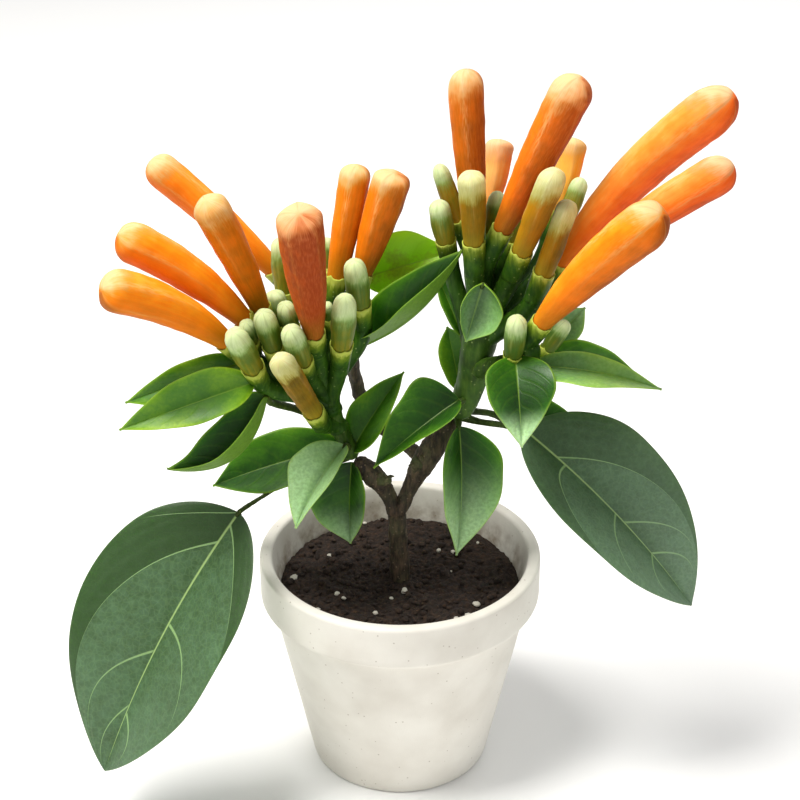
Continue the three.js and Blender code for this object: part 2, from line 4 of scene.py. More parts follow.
import bpy
import numpy as np
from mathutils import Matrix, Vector


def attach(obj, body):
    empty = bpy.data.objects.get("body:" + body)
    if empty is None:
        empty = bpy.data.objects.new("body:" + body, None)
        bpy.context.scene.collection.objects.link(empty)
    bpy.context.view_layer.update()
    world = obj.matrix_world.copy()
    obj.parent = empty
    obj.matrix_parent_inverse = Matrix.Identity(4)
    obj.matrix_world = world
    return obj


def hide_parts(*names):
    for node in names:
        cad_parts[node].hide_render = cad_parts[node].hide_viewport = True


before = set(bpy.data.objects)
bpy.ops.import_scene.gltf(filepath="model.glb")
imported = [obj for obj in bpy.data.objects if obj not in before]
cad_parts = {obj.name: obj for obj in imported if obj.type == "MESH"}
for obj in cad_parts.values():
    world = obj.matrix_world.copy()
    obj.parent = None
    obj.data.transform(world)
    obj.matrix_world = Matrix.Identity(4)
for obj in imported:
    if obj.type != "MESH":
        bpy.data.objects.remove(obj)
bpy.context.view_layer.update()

# Potted flame vine: fine pieces and finishes for the solids of the frame.
# Points and sizes are in millimetres, as the plant is measured, and MM turns them to metres.
MM = 0.001
TURN = 2 * math.pi
SEED = 11
random = np.random.default_rng(SEED)

# Flowers, by number: foot where the corolla leaves its calyx, tip, widest radius, upward bow,
# how far up the shoot the stalk starts, how light the corolla is (0 to 1; its own colour, and painted
# shade on blooms that lie in shade), where its pale tip starts (a share of its length), how blunt the
# tip is, and how rosy it is (0 golden, 1 salmon)
LEFT_BLOOMS = [
    ((-36.2, 12, 157), (-69.5, 14, 188.5), 4.9, 0.8, 0.85, 0.58, 0.85, 3, 0.3),
    ((-39, -4, 152.5), (-51, -18, 190), 4.9, 0.8, 0.8, 0.42, 0.74, 3, 0),
    ((-43.4, -8, 150.8), (-75, -16, 179.2), 5.6, 2, 0.72, 0.62, 0.9, 3, 0.1),
    ((-48.2, -14, 146.9), (-78.2, -30, 169.8), 5.9, 2.6, 0.65, 0.6, 0.9, 3, 0),
    ((-23.5, -16, 150.5), (-25.3, -44, 197), 5.9, 0, 0.6, 0.14, 0.85, 5, 0.75),
    ((-17.8, 8, 156.5), (-11.7, 12, 188.3), 4.4, 0, 0.95, 0.36, 0.81, 3, 0),
    ((-10.5, 6, 158.5), (-1.4, 6, 188.3), 5.4, 0, 0.85, 0.27, 0.84, 4, 0.3),
    ((-24.5, -12, 124), (-32, -34, 151.5), 3.5, 0, 0.3, 0.36, 0.68, 2.6, 0),
]
RIGHT_BLOOMS = [
    ((20.5, 6, 173), (17.5, 10, 216.4), 4.9, 0, 0.6, 0.14, 0.82, 2.6, 0.5),
    ((28, -4, 176), (46, -14, 222.2), 5.6, 0, 0.62, 0.24, 0.82, 2.6, 0.6),
    ((44.8, -2, 165.5), (83.2, -28, 222), 6.6, 3, 0.5, 0.6, 0.93, 2.6, 0.85),
    ((50, 10, 158), (91.2, 6, 190.5), 5.7, 1.2, 0.42, 0.5, 0.92, 2.6, 1),
    ((38.5, -20, 155.5), (65.4, -42, 196), 6.4, 1.6, 0.95, 0.5, 0.92, 2.6, 0.25),
    ((24.5, 20, 170), (28.7, 30, 189), 4.2, 0, 0.55, 0.75, 0.66, 2.6, 1),
    ((44, 14, 173.5), (48.7, 22, 192.5), 4, 0, 0.6, 0.9, 0.66, 2.6, 0),
    ((33, -10, 172), (40.5, -20, 199), 3.7, 0, 0.55, 0.42, 0.66, 2.6, 0.2),
    ((39.1, -11.3, 166.5), (44.7, -16.9, 189), 3, 0, 0.45, 0.35, 0.56, 2.6, 0),
    ((20, -6, 173), (19, -10, 194.5), 3.7, 0, 0.5, 0.32, 0.62, 2.6, 0),
]
LEFT_YOUNG = (8,)
RIGHT_YOUNG = (8, 9, 10)

# Buds: foot, tip, widest radius, bow, how far up the shoot the stalk starts, and how ripe it is
LEFT_BUDS = [
    ((-32.5, 4, 153.5), (-33.5, 6, 169), 3.1, 0, 0.9, 0.35),
    ((-21, 14, 156), (-21, 18, 164), 2.3, 0, 1, 0.2),
    ((-11, -6, 154.5), (-12.5, -12, 170), 3.4, 0, 0.6, 0.1),
    ((-16, -14, 146), (-14.5, -24, 165), 3.5, 0, 0.5, 0.25),
    ((-20, -6, 150), (-20, -8, 155.5), 1.6, 0, 0.9, 0),
    ((-30, -10, 149), (-31.5, -14, 158), 2.8, 0, 0.85, 0.05),
    ((-35, -14, 145.5), (-37, -20, 158.5), 3.3, 0, 0.7, 0.1),
    ((-41, -12, 146), (-42, -16, 153.5), 2.4, 0, 0.75, 0.05),
    ((-27, -16, 142), (-29.5, -25, 156), 3.4, 0, 0.55, 0.25),
    ((-40.5, -18, 141), (-44.5, -28, 156.5), 3.6, 0, 0.5, 0.3),
    ((-33, 0, 145.5), (-35.5, 0, 155.5), 3.2, 0, 0.8, 0.15),
]
RIGHT_BUDS = [
    ((46, 8, 173), (50.5, 12, 184.5), 2.7, 0, 0.55, 0.4),
    ((16, 7, 174), (10.4, 8, 190), 2.7, 0, 0.3, 0.7),
    ((12.6, 2, 170), (10.3, 0, 182.4), 3.2, 0, 0.2, 0.4),
    ((25, 10, 169), (27.5, 12, 180.5), 2.6, 0, 0.65, 0.3),
    ((30.5, 4, 169), (33.8, 6, 179.8), 2.6, 0, 0.45, 0.3),
]
SIDE_BUDS = [
    ((31, -18, 145), (31.5, -22, 158), 3.1, 0, 0.6, 0),
    ((41, -10, 142.5), (46, -10, 151), 2.5, 0, 0.7, 0.05),
]
# The right bloom that the side shoot bears
SIDE_BLOOM = 5

# Stems: the points of each, with the radius at each point
TRUNK = [(0, 0, 30.3, 3), (0, 0, 60, 3), (-0.5, 0, 73, 2.7), (-1, 0, 83.5, 2.8)]
LEFT_ARM = [(-1, 0, 82, 2.3), (-4, 0, 90.5, 2.3), (-8, -1, 96.5, 3.2), (-13, 0, 101.5, 2.4)]
RIGHT_ARM = [(-1, 0, 82, 2.3), (3, 0, 92, 2.3), (8, -1, 103, 3.6), (15.5, 0, 115, 2.6)]
BACK_TWIG = [
    (7, 0, 101, 2), (0, 8, 103.5, 1.8), (-6.5, 12, 106.5, 1.9), (-11.8, 13, 116, 2),
    (-14.5, 8, 133.5, 1.9),
]
LEFT_STUB = [(-8, -1, 96.5, 2.2), (-5, -2.5, 96, 2), (-2.5, -3.5, 96.5, 1)]
RIGHT_STUB = [(7.5, -1, 103, 2.4), (5, -2.5, 101.5, 2.2), (3, -3, 101, 1.2)]
TWIG_STALKS = [
    [(-14.3, 8.5, 132, 1.6), (-14.6, 6, 134.5, 1.2), (-13.8, 4.2, 135.2, 1)],
    [(-14.3, 8.5, 132, 1.6), (-15, 11.5, 140, 1.2), (-13.5, 14, 148, 1.1), (-10.9, 14, 152.6, 1)],
]
LEFT_SHOOT = [
    (-13.5, 0, 102, 2.7), (-18, -2, 114, 2.4), (-20.5, -4, 124.5, 2.8), (-22.5, -4, 135, 2.6),
]
RIGHT_SHOOT = [
    (16.3, 0, 115.5, 3.6), (20, -1, 126, 4.2), (21.8, -2, 137.5, 4.8), (24, -1, 147, 5),
    (26.5, 0, 157, 3.6),
]
SIDE_SHOOT = [
    (21, -3, 132, 3), (28, -11.5, 138, 2.8), (33, -14.5, 140, 2.8), (36, -16.5, 145, 1.8),
]
LEFT_STALKS = [
    [
        (-14, 0, 103, 1.5), (-23.5, 2, 97.5, 1), (-33, 0, 93.8, 0.6), (-40.5, -9, 93.6, 0.6),
        (-45.7, -16.6, 93.8, 0.7),
    ],
    [
        (-15, 0, 106, 1.4), (-23, 2, 113.5, 1.1), (-29.5, -2, 119, 1.1), (-36.5, -10, 126, 1.2),
        (-40.2, -14.6, 134, 1),
    ],
    [(-36, -10, 125, 1.1), (-37.5, -13.7, 129, 0.9)],
    [(-36.5, -10, 126, 1.1), (-43.2, -6.3, 136, 0.9)],
    [(-15, 0, 103, 1.4), (-14.1, -1, 104.2, 0.9)],
    [(-15, 0, 105, 1.4), (-15.5, -7.7, 110.2, 0.9)],
    [(-15, 0, 104, 1.4), (-16.8, 3.7, 103.6, 0.9)],
]
RIGHT_STALKS = [
    [(17, 0, 116, 1.6), (22.5, 0, 114, 1), (29, -2, 114, 0.9), (35.1, -4.8, 114, 0.9)],
    [(17, 1, 117, 1.4), (23, 4, 115, 1), (27.5, 6, 113, 1), (31.2, 7.8, 109.8, 0.9)],
    [(16.8, 0, 116.6, 1.4), (16.8, -3.7, 114.8, 0.9)],
    [(17, 0, 119, 1.4), (17.8, -4.7, 123.3, 0.9)],
    [(17.5, 0, 118, 1.4), (17.5, 5.7, 120.3, 0.9)],
    [(31, -13.5, 139, 1.4), (31.5, -17.7, 143.6, 0.9)],
    [(33, -15, 139.5, 1.4), (35.7, -16, 139.5, 0.9)],
    [(30, -12.5, 138.5, 1.4), (37.7, -8.2, 137.6, 0.9)],
    [(28, -11, 138, 1.4), (36, -3, 138, 1), (41.7, 1.7, 137.5, 0.9)],
    [(25, -2, 152, 1.6), (23.7, -7, 158.5, 1.3), (22.6, -10.6, 162, 0.9)],
    [(20.8, -1, 133, 1.4), (17.9, 2.7, 139.3, 0.9)],
]

# Dry bud scales on the stubs: base, tip and radius, and how far each is raised in its middle
BUD_SCALES = [
    ((-3.6, -3.2, 96.6), (-1.6, -3.6, 97.6), 0.8), ((-4.4, -3.6, 95.4), (-2.6, -4.6, 95.6), 0.9),
    ((-6, -3, 97.6), (-5, -4.2, 98.6), 0.9), ((4.6, -3.6, 101), (2.4, -4.2, 101.6), 1),
    ((5.6, -3.8, 100.4), (4.2, -5, 99.6), 0.9), ((6.6, -3.4, 103.6), (5.4, -4.6, 104.4), 1),
]
SCALE_ARCH = (0, 0, 0.48)

# The ways to the photo's viewer and to the brightest light
VIEWER = np.array((0, -0.88, 0.47))
SKYWARD = np.array((-0.33, -0.1, 0.94))

# Leaves: base, tip, half widths right and left of the midrib (seen from the upper face, tip up),
# turn about the midrib from facing the viewer, fold along it, arch, sideways bow, widest place,
# how fresh the leaf's green is, with painted light and shade in it (0 dark, 1 bright, more as a
# painted glow where light shines through)
LEAVES = {
    "large_left": ((-46, -17, 93.5), (-86, -43, 21.5), (29.8, 24.5), 25, 20, 3, 0, 0.43, 0.5),
    "large_right": ((35.4, -5, 114), (85, -20, 63.8), (18.4, 21.8), -24, 26, 4, 0, 0.41, 0.75),
    "right_low": ((16.8, -4, 114.6), (16.5, -12, 76), (11, 12.5), -30, 30, 2, 0, 0.36, 0.2),
    "middle_right": ((17, -5.2, 123.8), (-7.5, -14, 106.5), (11.6, 12.6), 38, 38, 1, 0, 0.19, 0.15),
    "middle_left": ((-14, -1, 104.5), (1.2, 8, 126), (9.5, 7), -31, 31, 1, 0, 0.4, 0.7),
    "left_front": ((-15.5, -8, 110.5), (-29.5, -24, 92.5), (10, 9.5), 36, 36, 2, 0, 0.4, 0.6),
    "left_low": ((-14, 0, 100.5), (-14.5, -8, 77.5), (12, 8), 25, 30, 1, 0, 0.5, 0.1),
    "left_behind": ((-17, 4, 103.5), (-55.2, 2, 91.2), (9.6, 10.4), 22, 22, 2, 0, 0.5, 0.15),
    "fan_low": ((-37.4, -14.1, 129.4), (-65, -22, 110.8), (11, 9), 50, 58, -6.5, -5.5, 0.45, 0.1),
    "fan_middle": ((-40.5, -15, 134.5), (-77, -26, 125.5), (9, 7), 0, 30, 3, 0, 0.4, 0.9),
    "fan_top": ((-43.5, -6, 136.5), (-77, -12, 126.5), (6, 8), 0, 30, 3, 0, 0.4, 1),
    "twig_front": ((-13.5, 4, 135.5), (17, -4, 169.5), (10, 11), -52, 58, -3.5, 3, 0.5, 0.05),
    "twig_back": ((-10.5, 14, 153), (15.5, 10, 163), (8, 10.5), 0, 20, 2, 0, 0.5, 2.2),
    "bract": ((22.6, -11, 162.5), (18.1, -13.5, 146.3), (7, 13), 0, 50, -1.5, 0, 0.4, 0.4),
    "right_upper": ((17.8, 3, 139.8), (9.8, 9, 158), (5, 2.5), 0, 20, 1, 0, 0.5, 0.3),
    "right_inner": ((17.6, 6, 121), (13.5, 9, 140), (7, 4.5), 0, 20, 0, 0, 0.64, 0.8),
    "side_front": ((31.5, -18, 144), (33, -34, 124.5), (10, 11), 0, 25, 3, 0, 0.36, 0),
    "side_low": ((36, -16, 139.8), (71, -26, 138), (10, 5), -31, 32, 3, 0, 0.4, 0.95),
    "side_top": ((38, -8, 137.5), (67.5, -8, 132.5), (3, 8), 0, 20, 3, 0, 0.4, 0.2),
    "right_hidden": ((31.5, 8, 109.5), (50, 12, 110.3), (6, 6), 0, 20, 1, 0, 0.5, 0),
    "side_back": ((42, 2, 137.5), (52.5, 6, 147.5), (5, 5), 0, 20, 1, 0, 0.5, 0.5),
}

# Leaves cupped like a spoon, not folded at their midrib
CUPPED = ("bract",)

# Painted sheen on some leaves, a paler colour that stands in for reflected light: where along the leaf
# it starts, and how strong it is at the tip
PAINTED_SHEEN = {
    "left_front": (-0.9, 0.9), "right_low": (0.2, 0.9), "side_front": (0.6, 1.4),
    "left_low": (0.45, 0.7), "large_left": (-0.6, 0.12), "large_right": (-0.2, 0.4),
    "bract": (-0.6, 0.4), "side_low": (-2, 0.25), "side_back": (-1, 0.4),
}
# How far the midrib bows from the middle of its leaf, to the photo's left as the leaf hangs
BOWED = {"large_left": 2, "large_right": -0.7}

# Side veins of a large leaf, at the photo's left and right of its midrib as it hangs: where each
# leaves the midrib, how it leans towards the tip, and how it bends. The first vein of a side bounds
# the zone of painted shade by the base, and the last number is how dark that painted shade is.
LARGE_VEINS = {
    "large_left": (
        ((0.116, 0.235, 0.586), (-0.01, 0.08, 0.12), (0.543, 0.298, 0.229), (0.75, 0.4, 0.1)),
        ((0.05, 0.074, 0.303), (0.44, 0.049, 0.306), (0.78, 0.15, 0.2)),
        0.85,
    ),
    "large_right": (
        ((0.215, -0.044, 0.373), (0.494, 0.071, 0.225), (0.72, 0.1, 0.2)),
        ((0.166, 0.289, 0.481), (0.543, 0.242, 0.1), (0.716, 0.163, 0.1)),
        0.5,
    ),
}


# Shapes: smooth steps, curves and rings of points
def unit(vectors):
    """Each vector at length 1."""
    return vectors / np.maximum(np.linalg.norm(vectors, axis=-1, keepdims=True), 1e-12)


def smooth(low, high, x):
    """0 below low, 1 above high and a smooth step between."""
    t = np.clip((np.asarray(x, float) - low) / (high - low), 0, 1)
    return t * t * (3 - 2 * t)


def through(places, values, x):
    """A smooth line through values at places, never past them."""
    places, values = np.array(places, float), np.array(values, float)
    slopes = np.diff(values) / np.diff(places)
    inner = np.where(slopes[:-1] * slopes[1:] > 0, 2 / (1 / slopes[:-1] + 1 / slopes[1:] + 1e-12), 0)
    tangents = np.concatenate([slopes[:1], inner, slopes[-1:]])
    x = np.clip(x, places[0], places[-1])
    k = np.clip(np.searchsorted(places, x, side="right") - 1, 0, len(places) - 2)
    width = places[k + 1] - places[k]
    t = (x - places[k]) / width
    return (
        values[k] * (1 + 2 * t) * (1 - t) ** 2 + values[k + 1] * t * t * (3 - 2 * t)
        + tangents[k] * width * t * (1 - t) ** 2 + tangents[k + 1] * width * t * t * (t - 1)
    )


def bend(start, middle, end, t):
    """A point of the bend from start to end, drawn towards the middle point."""
    return start * (1 - t) ** 2 + middle * 2 * t * (1 - t) + end * t**2


def stem_at(row, shares):
    """Points and radii of a stem, smooth through its row, at shares of its length."""
    knots = np.array(row, float)
    ends = np.vstack([2 * knots[0] - knots[1], knots, 2 * knots[-1] - knots[-2]])
    place = np.asarray(shares, float) * (len(knots) - 1)
    span = np.clip(place.astype(int), 0, len(knots) - 2)
    w = (place - span)[:, None]
    a, b, c, d = (ends[span + k] for k in range(4))
    return 0.5 * (
        2 * b + (c - a) * w + (2 * a - 5 * b + 4 * c - d) * w**2 + (3 * (b - c) + d - a) * w**3
    )


# A direction that no stem follows, to start the ways across a stem
ACROSS_FROM = (0.31, 0.17, 0.93)


def frames(path):
    """At each point of a path: two ways across it, without twist."""
    along = unit(np.gradient(path, axis=0))
    sides = [unit(np.cross(along[0], ACROSS_FROM))]
    for direction in along[1:]:
        kept = sides[-1] - direction * np.dot(sides[-1], direction)
        sides.append(unit(kept))
    sides = np.array(sides)
    return sides, np.cross(along, sides)


def angles(count):
    """Evenly spaced angles of a full turn."""
    return np.linspace(0, TURN, count, endpoint=False)


def rings(path, radii, count):
    """Rings of points round a path; radii may differ round a ring."""
    side, across = frames(path)
    turn = angles(count)
    radii = np.broadcast_to(np.asarray(radii, float), (len(path), count))
    return (
        path[:, None]
        + side[:, None] * (radii * np.cos(turn))[..., None]
        + across[:, None] * (radii * np.sin(turn))[..., None]
    )


def ripple(points, size, seed):
    """A smooth random value from -1 to 1 at each point, varying over about the given size."""
    waves = np.random.default_rng(seed)
    total = 0
    for octave in range(3):
        ways = waves.normal(size=(5, 3))
        ways = unit(ways) * (TURN / size) * 1.7**octave
        phases = waves.uniform(0, TURN, 5)
        total = total + np.sin(points @ ways.T + phases).sum(axis=-1) / (2.2 * 1.6**octave)
    return np.clip(total / 2.2, -1, 1)


def roughen(grid, path, depth, size, seed, share=1, squash=1):
    """Rings of points pushed out and in by a ripple, to a depth times a share."""
    push = depth * ripple(grid * squash, size, seed) * share
    return grid + unit(grid - path[:, None]) * push[..., None]


def into_scene(name, data, place=(0, 0, 0)):
    """A new object of the scene."""
    made = bpy.data.objects.new(name, data)
    made.location = place
    bpy.context.scene.collection.objects.link(made)
    return made


class Surface:
    """Closed shells of points and faces, with named values at the points."""

    def __init__(self):
        self.points = []
        self.faces = []
        self.values = []
        self.count = 0

    def add(self, points, faces, values):
        """One closed shell, its faces turned to look outward."""
        first, second, third = (points[[f[k] for f in faces]] - points.mean(0) for k in (0, 1, -1))
        volume = np.einsum("ij,ij->", first, np.cross(second, third))
        step = 1 if volume > 0 else -1
        self.faces += [tuple(self.count + i for i in f[::step]) for f in faces]
        self.points.append(points)
        self.values.append({k: np.broadcast_to(v, len(points)) for k, v in values.items()})
        self.count += len(points)

    def shell(self, grid, **values):
        """A closed shell from rings of points, with a middle point in its first and last ring."""
        rows, columns = grid.shape[:2]
        points = np.vstack([grid.reshape(-1, 3), grid[0].mean(0), grid[-1].mean(0)])
        flat = {}
        for key, value in values.items():
            full = np.broadcast_to(value, (rows, columns))
            flat[key] = np.concatenate([full.ravel(), [full[0].mean(), full[-1].mean()]])
        here = np.arange(rows * columns).reshape(rows, columns)
        turned = np.roll(here, -1, axis=1)
        quads = np.stack([here[:-1], turned[:-1], turned[1:], here[1:]], axis=-1).reshape(-1, 4)
        pole = rows * columns
        faces = [tuple(q) for q in quads.tolist()]
        faces += [(pole, b, a) for a, b in zip(here[0].tolist(), turned[0].tolist())]
        faces += [(pole + 1, a, b) for a, b in zip(here[-1].tolist(), turned[-1].tolist())]
        self.add(points, faces, flat)

    def sheet(self, upper, lower, **values):
        """A thin closed blade from two matching grids of points."""
        rows, columns = upper.shape[:2]
        count = rows * columns
        points = np.vstack([upper.reshape(-1, 3), lower.reshape(-1, 3)])
        flat = {"under": np.repeat([0.0, 1.0], count)}
        for key, value in values.items():
            flat[key] = np.tile(np.broadcast_to(value, (rows, columns)).ravel(), 2)
        here = np.arange(count).reshape(rows, columns)
        corners = [here[:-1, :-1], here[:-1, 1:], here[1:, 1:], here[1:, :-1]]
        quads = np.stack(corners, axis=-1).reshape(-1, 4)
        rim = np.concatenate([here[0], here[1:, -1], here[-1, -2::-1], here[-2:0:-1, 0]])
        after = np.roll(rim, -1)
        sides = np.stack([after, rim, rim + count, after + count], axis=-1)
        faces = np.vstack([quads, quads[:, ::-1] + count, sides]).tolist()
        self.add(points, [tuple(f) for f in faces], flat)

    def build(self, name, material, slot, *nodes):
        """The piece as an object that rides on the root and stands for the nodes."""
        mesh = bpy.data.meshes.new(name)
        points = np.vstack(self.points) * MM
        mesh.from_pydata(points.tolist(), [], self.faces)
        mesh.polygons.foreach_set("use_smooth", [True] * len(mesh.polygons))
        for key in sorted({k for v in self.values for k in v}):
            column = [v.get(key, np.zeros(len(p))) for v, p in zip(self.values, self.points)]
            attribute = mesh.attributes.new(key, "FLOAT", "POINT")
            attribute.data.foreach_set("value", np.concatenate(column).astype(np.float32))
        mesh.materials.append(material)
        mesh.update()
        piece = into_scene(name, mesh)
        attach(piece, "root")
        if nodes:
            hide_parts(*nodes)
        return piece


# Materials
def colour(code):
    """A colour written as six hexadecimal digits, as linear light."""
    parts = [int(code[k:k + 2], 16) / 255 for k in (0, 2, 4)]
    linear = [c / 12.92 if c <= 0.04045 else ((c + 0.055) / 1.055) ** 2.4 for c in parts]
    return (*linear, 1)


class Term:
    """A node's output that can be added, subtracted and multiplied."""

    def __init__(self, finish, socket):
        self.finish = finish
        self.socket = socket

    def __add__(self, other):
        return self.finish.math("ADD", self, other)

    def __sub__(self, other):
        return self.finish.math("SUBTRACT", self, other)

    def __mul__(self, other):
        return self.finish.math("MULTIPLY", self, other)


class Finish:
    """A material whose nodes are made by short calls, and whose colours are painted on in turn."""

    def __init__(self, name, **inputs):
        self.material = bpy.data.materials.new(name)
        self.material.use_nodes = True
        self.tree = self.material.node_tree
        self.shader = self.tree.nodes["Principled BSDF"]
        self.base = None
        self.fill(self.shader, inputs)

    def fill(self, node, inputs):
        """Sets or links a node's inputs by name or number."""
        for key, value in inputs.items():
            socket = node.inputs[key.replace("_", " ") if isinstance(key, str) else key]
            if isinstance(value, Term):
                self.tree.links.new(value.socket, socket)
            else:
                socket.default_value = value

    def node(self, kind, output, inputs, **settings):
        """One output of a new node with its settings and inputs."""
        made = self.tree.nodes.new(f"ShaderNode{kind}")
        for key, value in settings.items():
            setattr(made, key, value)
        self.fill(made, inputs)
        return Term(self, made.outputs[output])

    def value(self, name):
        """A value that the mesh holds at its points."""
        return self.node("Attribute", "Fac", {}, attribute_name=name)

    def math(self, operation, *terms):
        """One sum or function of its terms."""
        return self.node("Math", 0, dict(enumerate(terms)), operation=operation)

    def span(self, value, low, high, start=0, end=1):
        """A value stretched from one range to another, smooth at both ends."""
        inputs = {"Value": value, "From_Min": low, "From_Max": high, "To_Min": start, "To_Max": end}
        return self.node("MapRange", "Result", inputs, interpolation_type="SMOOTHSTEP")

    def vary(self, noise, start, end):
        """Noise stretched over its usual range to run from start to end."""
        return self.span(noise, 0.3, 0.7, start, end)

    def mix(self, share, first, second):
        """Two colours mixed by a share."""
        return self.node("Mix", 2, {0: share, 6: first, 7: second}, data_type="RGBA")

    def paint(self, over, share):
        """Lays a colour code or a node's colour over the base colour, by a share."""
        self.base = self.mix(share, self.base, colour(over) if isinstance(over, str) else over)

    def ramp(self, value, places, codes):
        """A colour by value, from places and colour codes."""
        made = self.node("ValToRGB", "Color", {"Fac": value})
        elements = made.socket.node.color_ramp.elements
        while len(elements) < len(places):
            elements.new(0.5)
        for element, place, code in zip(elements, places, codes.split()):
            element.position = place
            element.color = colour(code)
        return made

    def place(self, stretch=(1, 1, 1)):
        """The point's place on the object, stretched along each axis."""
        coordinates = self.node("TexCoord", "Object", {})
        return self.node("Mapping", "Vector", {"Vector": coordinates, "Scale": stretch})

    def noise(self, size, detail=3, roughness=0.5, stretch=(1, 1, 1)):
        """Cloudy noise of a size in millimetres, drawn out along an axis with a low stretch."""
        inputs = {"Scale": 1 / (size * MM), "Detail": detail, "Roughness": roughness}
        return self.node("TexNoise", "Fac", {"Vector": self.place(stretch), **inputs})

    def streaks(self, count, lengthwise):
        """Noise drawn out along a flower, from its values round and along it."""
        parts = {"X": self.value("round_x") * count, "Y": self.value("round_y") * count}
        parts["Z"] = self.value("along") * lengthwise
        vector = self.node("CombineXYZ", 0, parts)
        return self.node("TexNoise", "Fac", {"Vector": vector, "Scale": 1, "Detail": 3})

    def cells(self, size, feature):
        """Distances within cells of a size in millimetres."""
        inputs = {"Scale": 1 / (size * MM), "Vector": self.place()}
        return self.node("TexVoronoi", "Distance", inputs, feature=feature)

    def specks(self, size, edge, full):
        """Round specks, one to a cell: nothing at the edge distance, all within the full one."""
        return self.span(self.cells(size, "F1"), edge, full)

    def bump(self, height, depth, strength):
        """Relief of a depth in millimetres."""
        inputs = {"Height": height, "Distance": depth * MM, "Strength": strength}
        return self.node("Bump", "Normal", inputs)

    def done(self, **inputs):
        """Links the base colour and the last inputs of the shader, and gives the material."""
        self.fill(self.shader, {"Base_Color": self.base, **inputs})
        return self.material


# Where along its ramp each colour of a corolla's body lies
WARMTH_PLACES = (0, 0.2, 0.42, 0.62, 0.82, 1)


def petal_finish(name, gold, rose, tip_places, gold_tip, rose_tip):
    """Corolla: a body coloured by warmth with painted light and shade, a pale tip that reaches further
    down on the lit side, pale lines down the lobe edges, and a painted highlight along the lit folds.
    """
    f = Finish(
        name, Subsurface_Weight=0.15, Subsurface_Scale=0.001, Subsurface_Radius=(1, 0.4, 0.1),
        Specular_IOR_Level=0.12, Roughness=0.6,
    )
    streaks, fine = f.streaks(5, 1.3), f.streaks(16, 4)
    # The warmth from the mesh carries painted light and shade: yellower toward the light, redder away
    # from it
    warmth = f.value("warm") + f.vary(f.noise(3.5), -0.04, 0.04) + f.vary(streaks, -0.05, 0.05)
    # Rosiness also carries painted shade: rosier on the side away from the light
    rosy = f.value("rosy")
    f.base = f.mix(rosy, f.ramp(warmth, WARMTH_PLACES, gold), f.ramp(warmth, WARMTH_PLACES, rose))
    f.paint("94801a", f.value("foot") * f.vary(streaks, 0.7, 1))
    f.paint("e9b464", f.value("line") * f.vary(fine, 0.15, 0.45))
    # A painted highlight along the lobe folds that face the light
    f.paint("efc684", f.value("band") * f.span(fine, 0.35, 0.65, 0, 0.7))
    shade = f.value("cap") + f.vary(fine, -0.1, 0.1)
    top = f.mix(rosy, f.ramp(shade, tip_places, gold_tip), f.ramp(shade, tip_places, rose_tip))
    f.paint(top, f.span(shade, -0.1, 0.6, 0, 0.95))
    f.paint("b0702c", f.value("groove") * 0.3)
    grain = fine * 0.6 + f.noise(0.45, 2, 0.6) * 0.3
    return f.done(Normal=f.bump(grain, 0.14, 0.5))


def bud_finish():
    """Closed bud: pale green cap over a body from green to ripe orange-olive."""
    f = Finish(
        "bud", Subsurface_Weight=0.15, Subsurface_Scale=0.001, Subsurface_Radius=(0.8, 0.9, 0.2),
        Specular_IOR_Level=0.25, Roughness=0.55,
    )
    fine = f.streaks(13, 4)
    ripe = f.value("ripe") + f.vary(f.streaks(4, 1.2), -0.12, 0.12)
    f.base = f.ramp(ripe, (0, 0.3, 0.6, 1), "45681c 5c6c14 867b10 9c7410")
    f.paint("b4b862", f.value("line") * 0.35)
    shade = f.value("cap") + f.vary(fine, -0.1, 0.08)
    f.paint(f.ramp(shade, (0, 0.45, 1), "587a28 8cab5e c9d8a0"), f.span(shade, 0, 0.7))
    f.paint("76894a", f.value("groove") * 0.35)
    return f.done(Normal=f.bump(f.noise(0.4, 2) * 0.5 + fine, 0.14, 0.6))


def green_finish():
    """Shoots, stalks and calyces: fresh green with pale specks and a yellow-green rim."""
    f = Finish(
        "shoot", Subsurface_Weight=0.12, Subsurface_Scale=0.001, Subsurface_Radius=(0.6, 0.9, 0.1),
        Specular_IOR_Level=0.15, Roughness=0.5,
    )
    fibres = f.noise(1.1, 3, 0.6, (1, 1, 0.2))
    f.base = f.ramp(f.noise(6, 4, 0.55), (0.3, 0.5, 0.7), "173306 24480a 375f10")
    f.paint("567a22", f.span(fibres, 0.4, 0.75, 0, 0.35))
    f.paint(f.ramp(fibres, (0.3, 0.7), "3b3120 65583a"), f.value("brown"))
    rim = f.value("rim") + f.vary(fibres, -0.08, 0.08)
    f.paint("768c1c", f.span(rim, 0.45, 1, 0, 0.85))
    f.paint("b9c454", f.span(rim, 0.8, 1.05, 0, 0.85))
    specks = f.specks(1.9, 0.16, 0.1)
    f.paint("a9bd72", specks * 0.35)
    return f.done(Normal=f.bump(fibres + specks * 0.2, 0.18, 0.6))


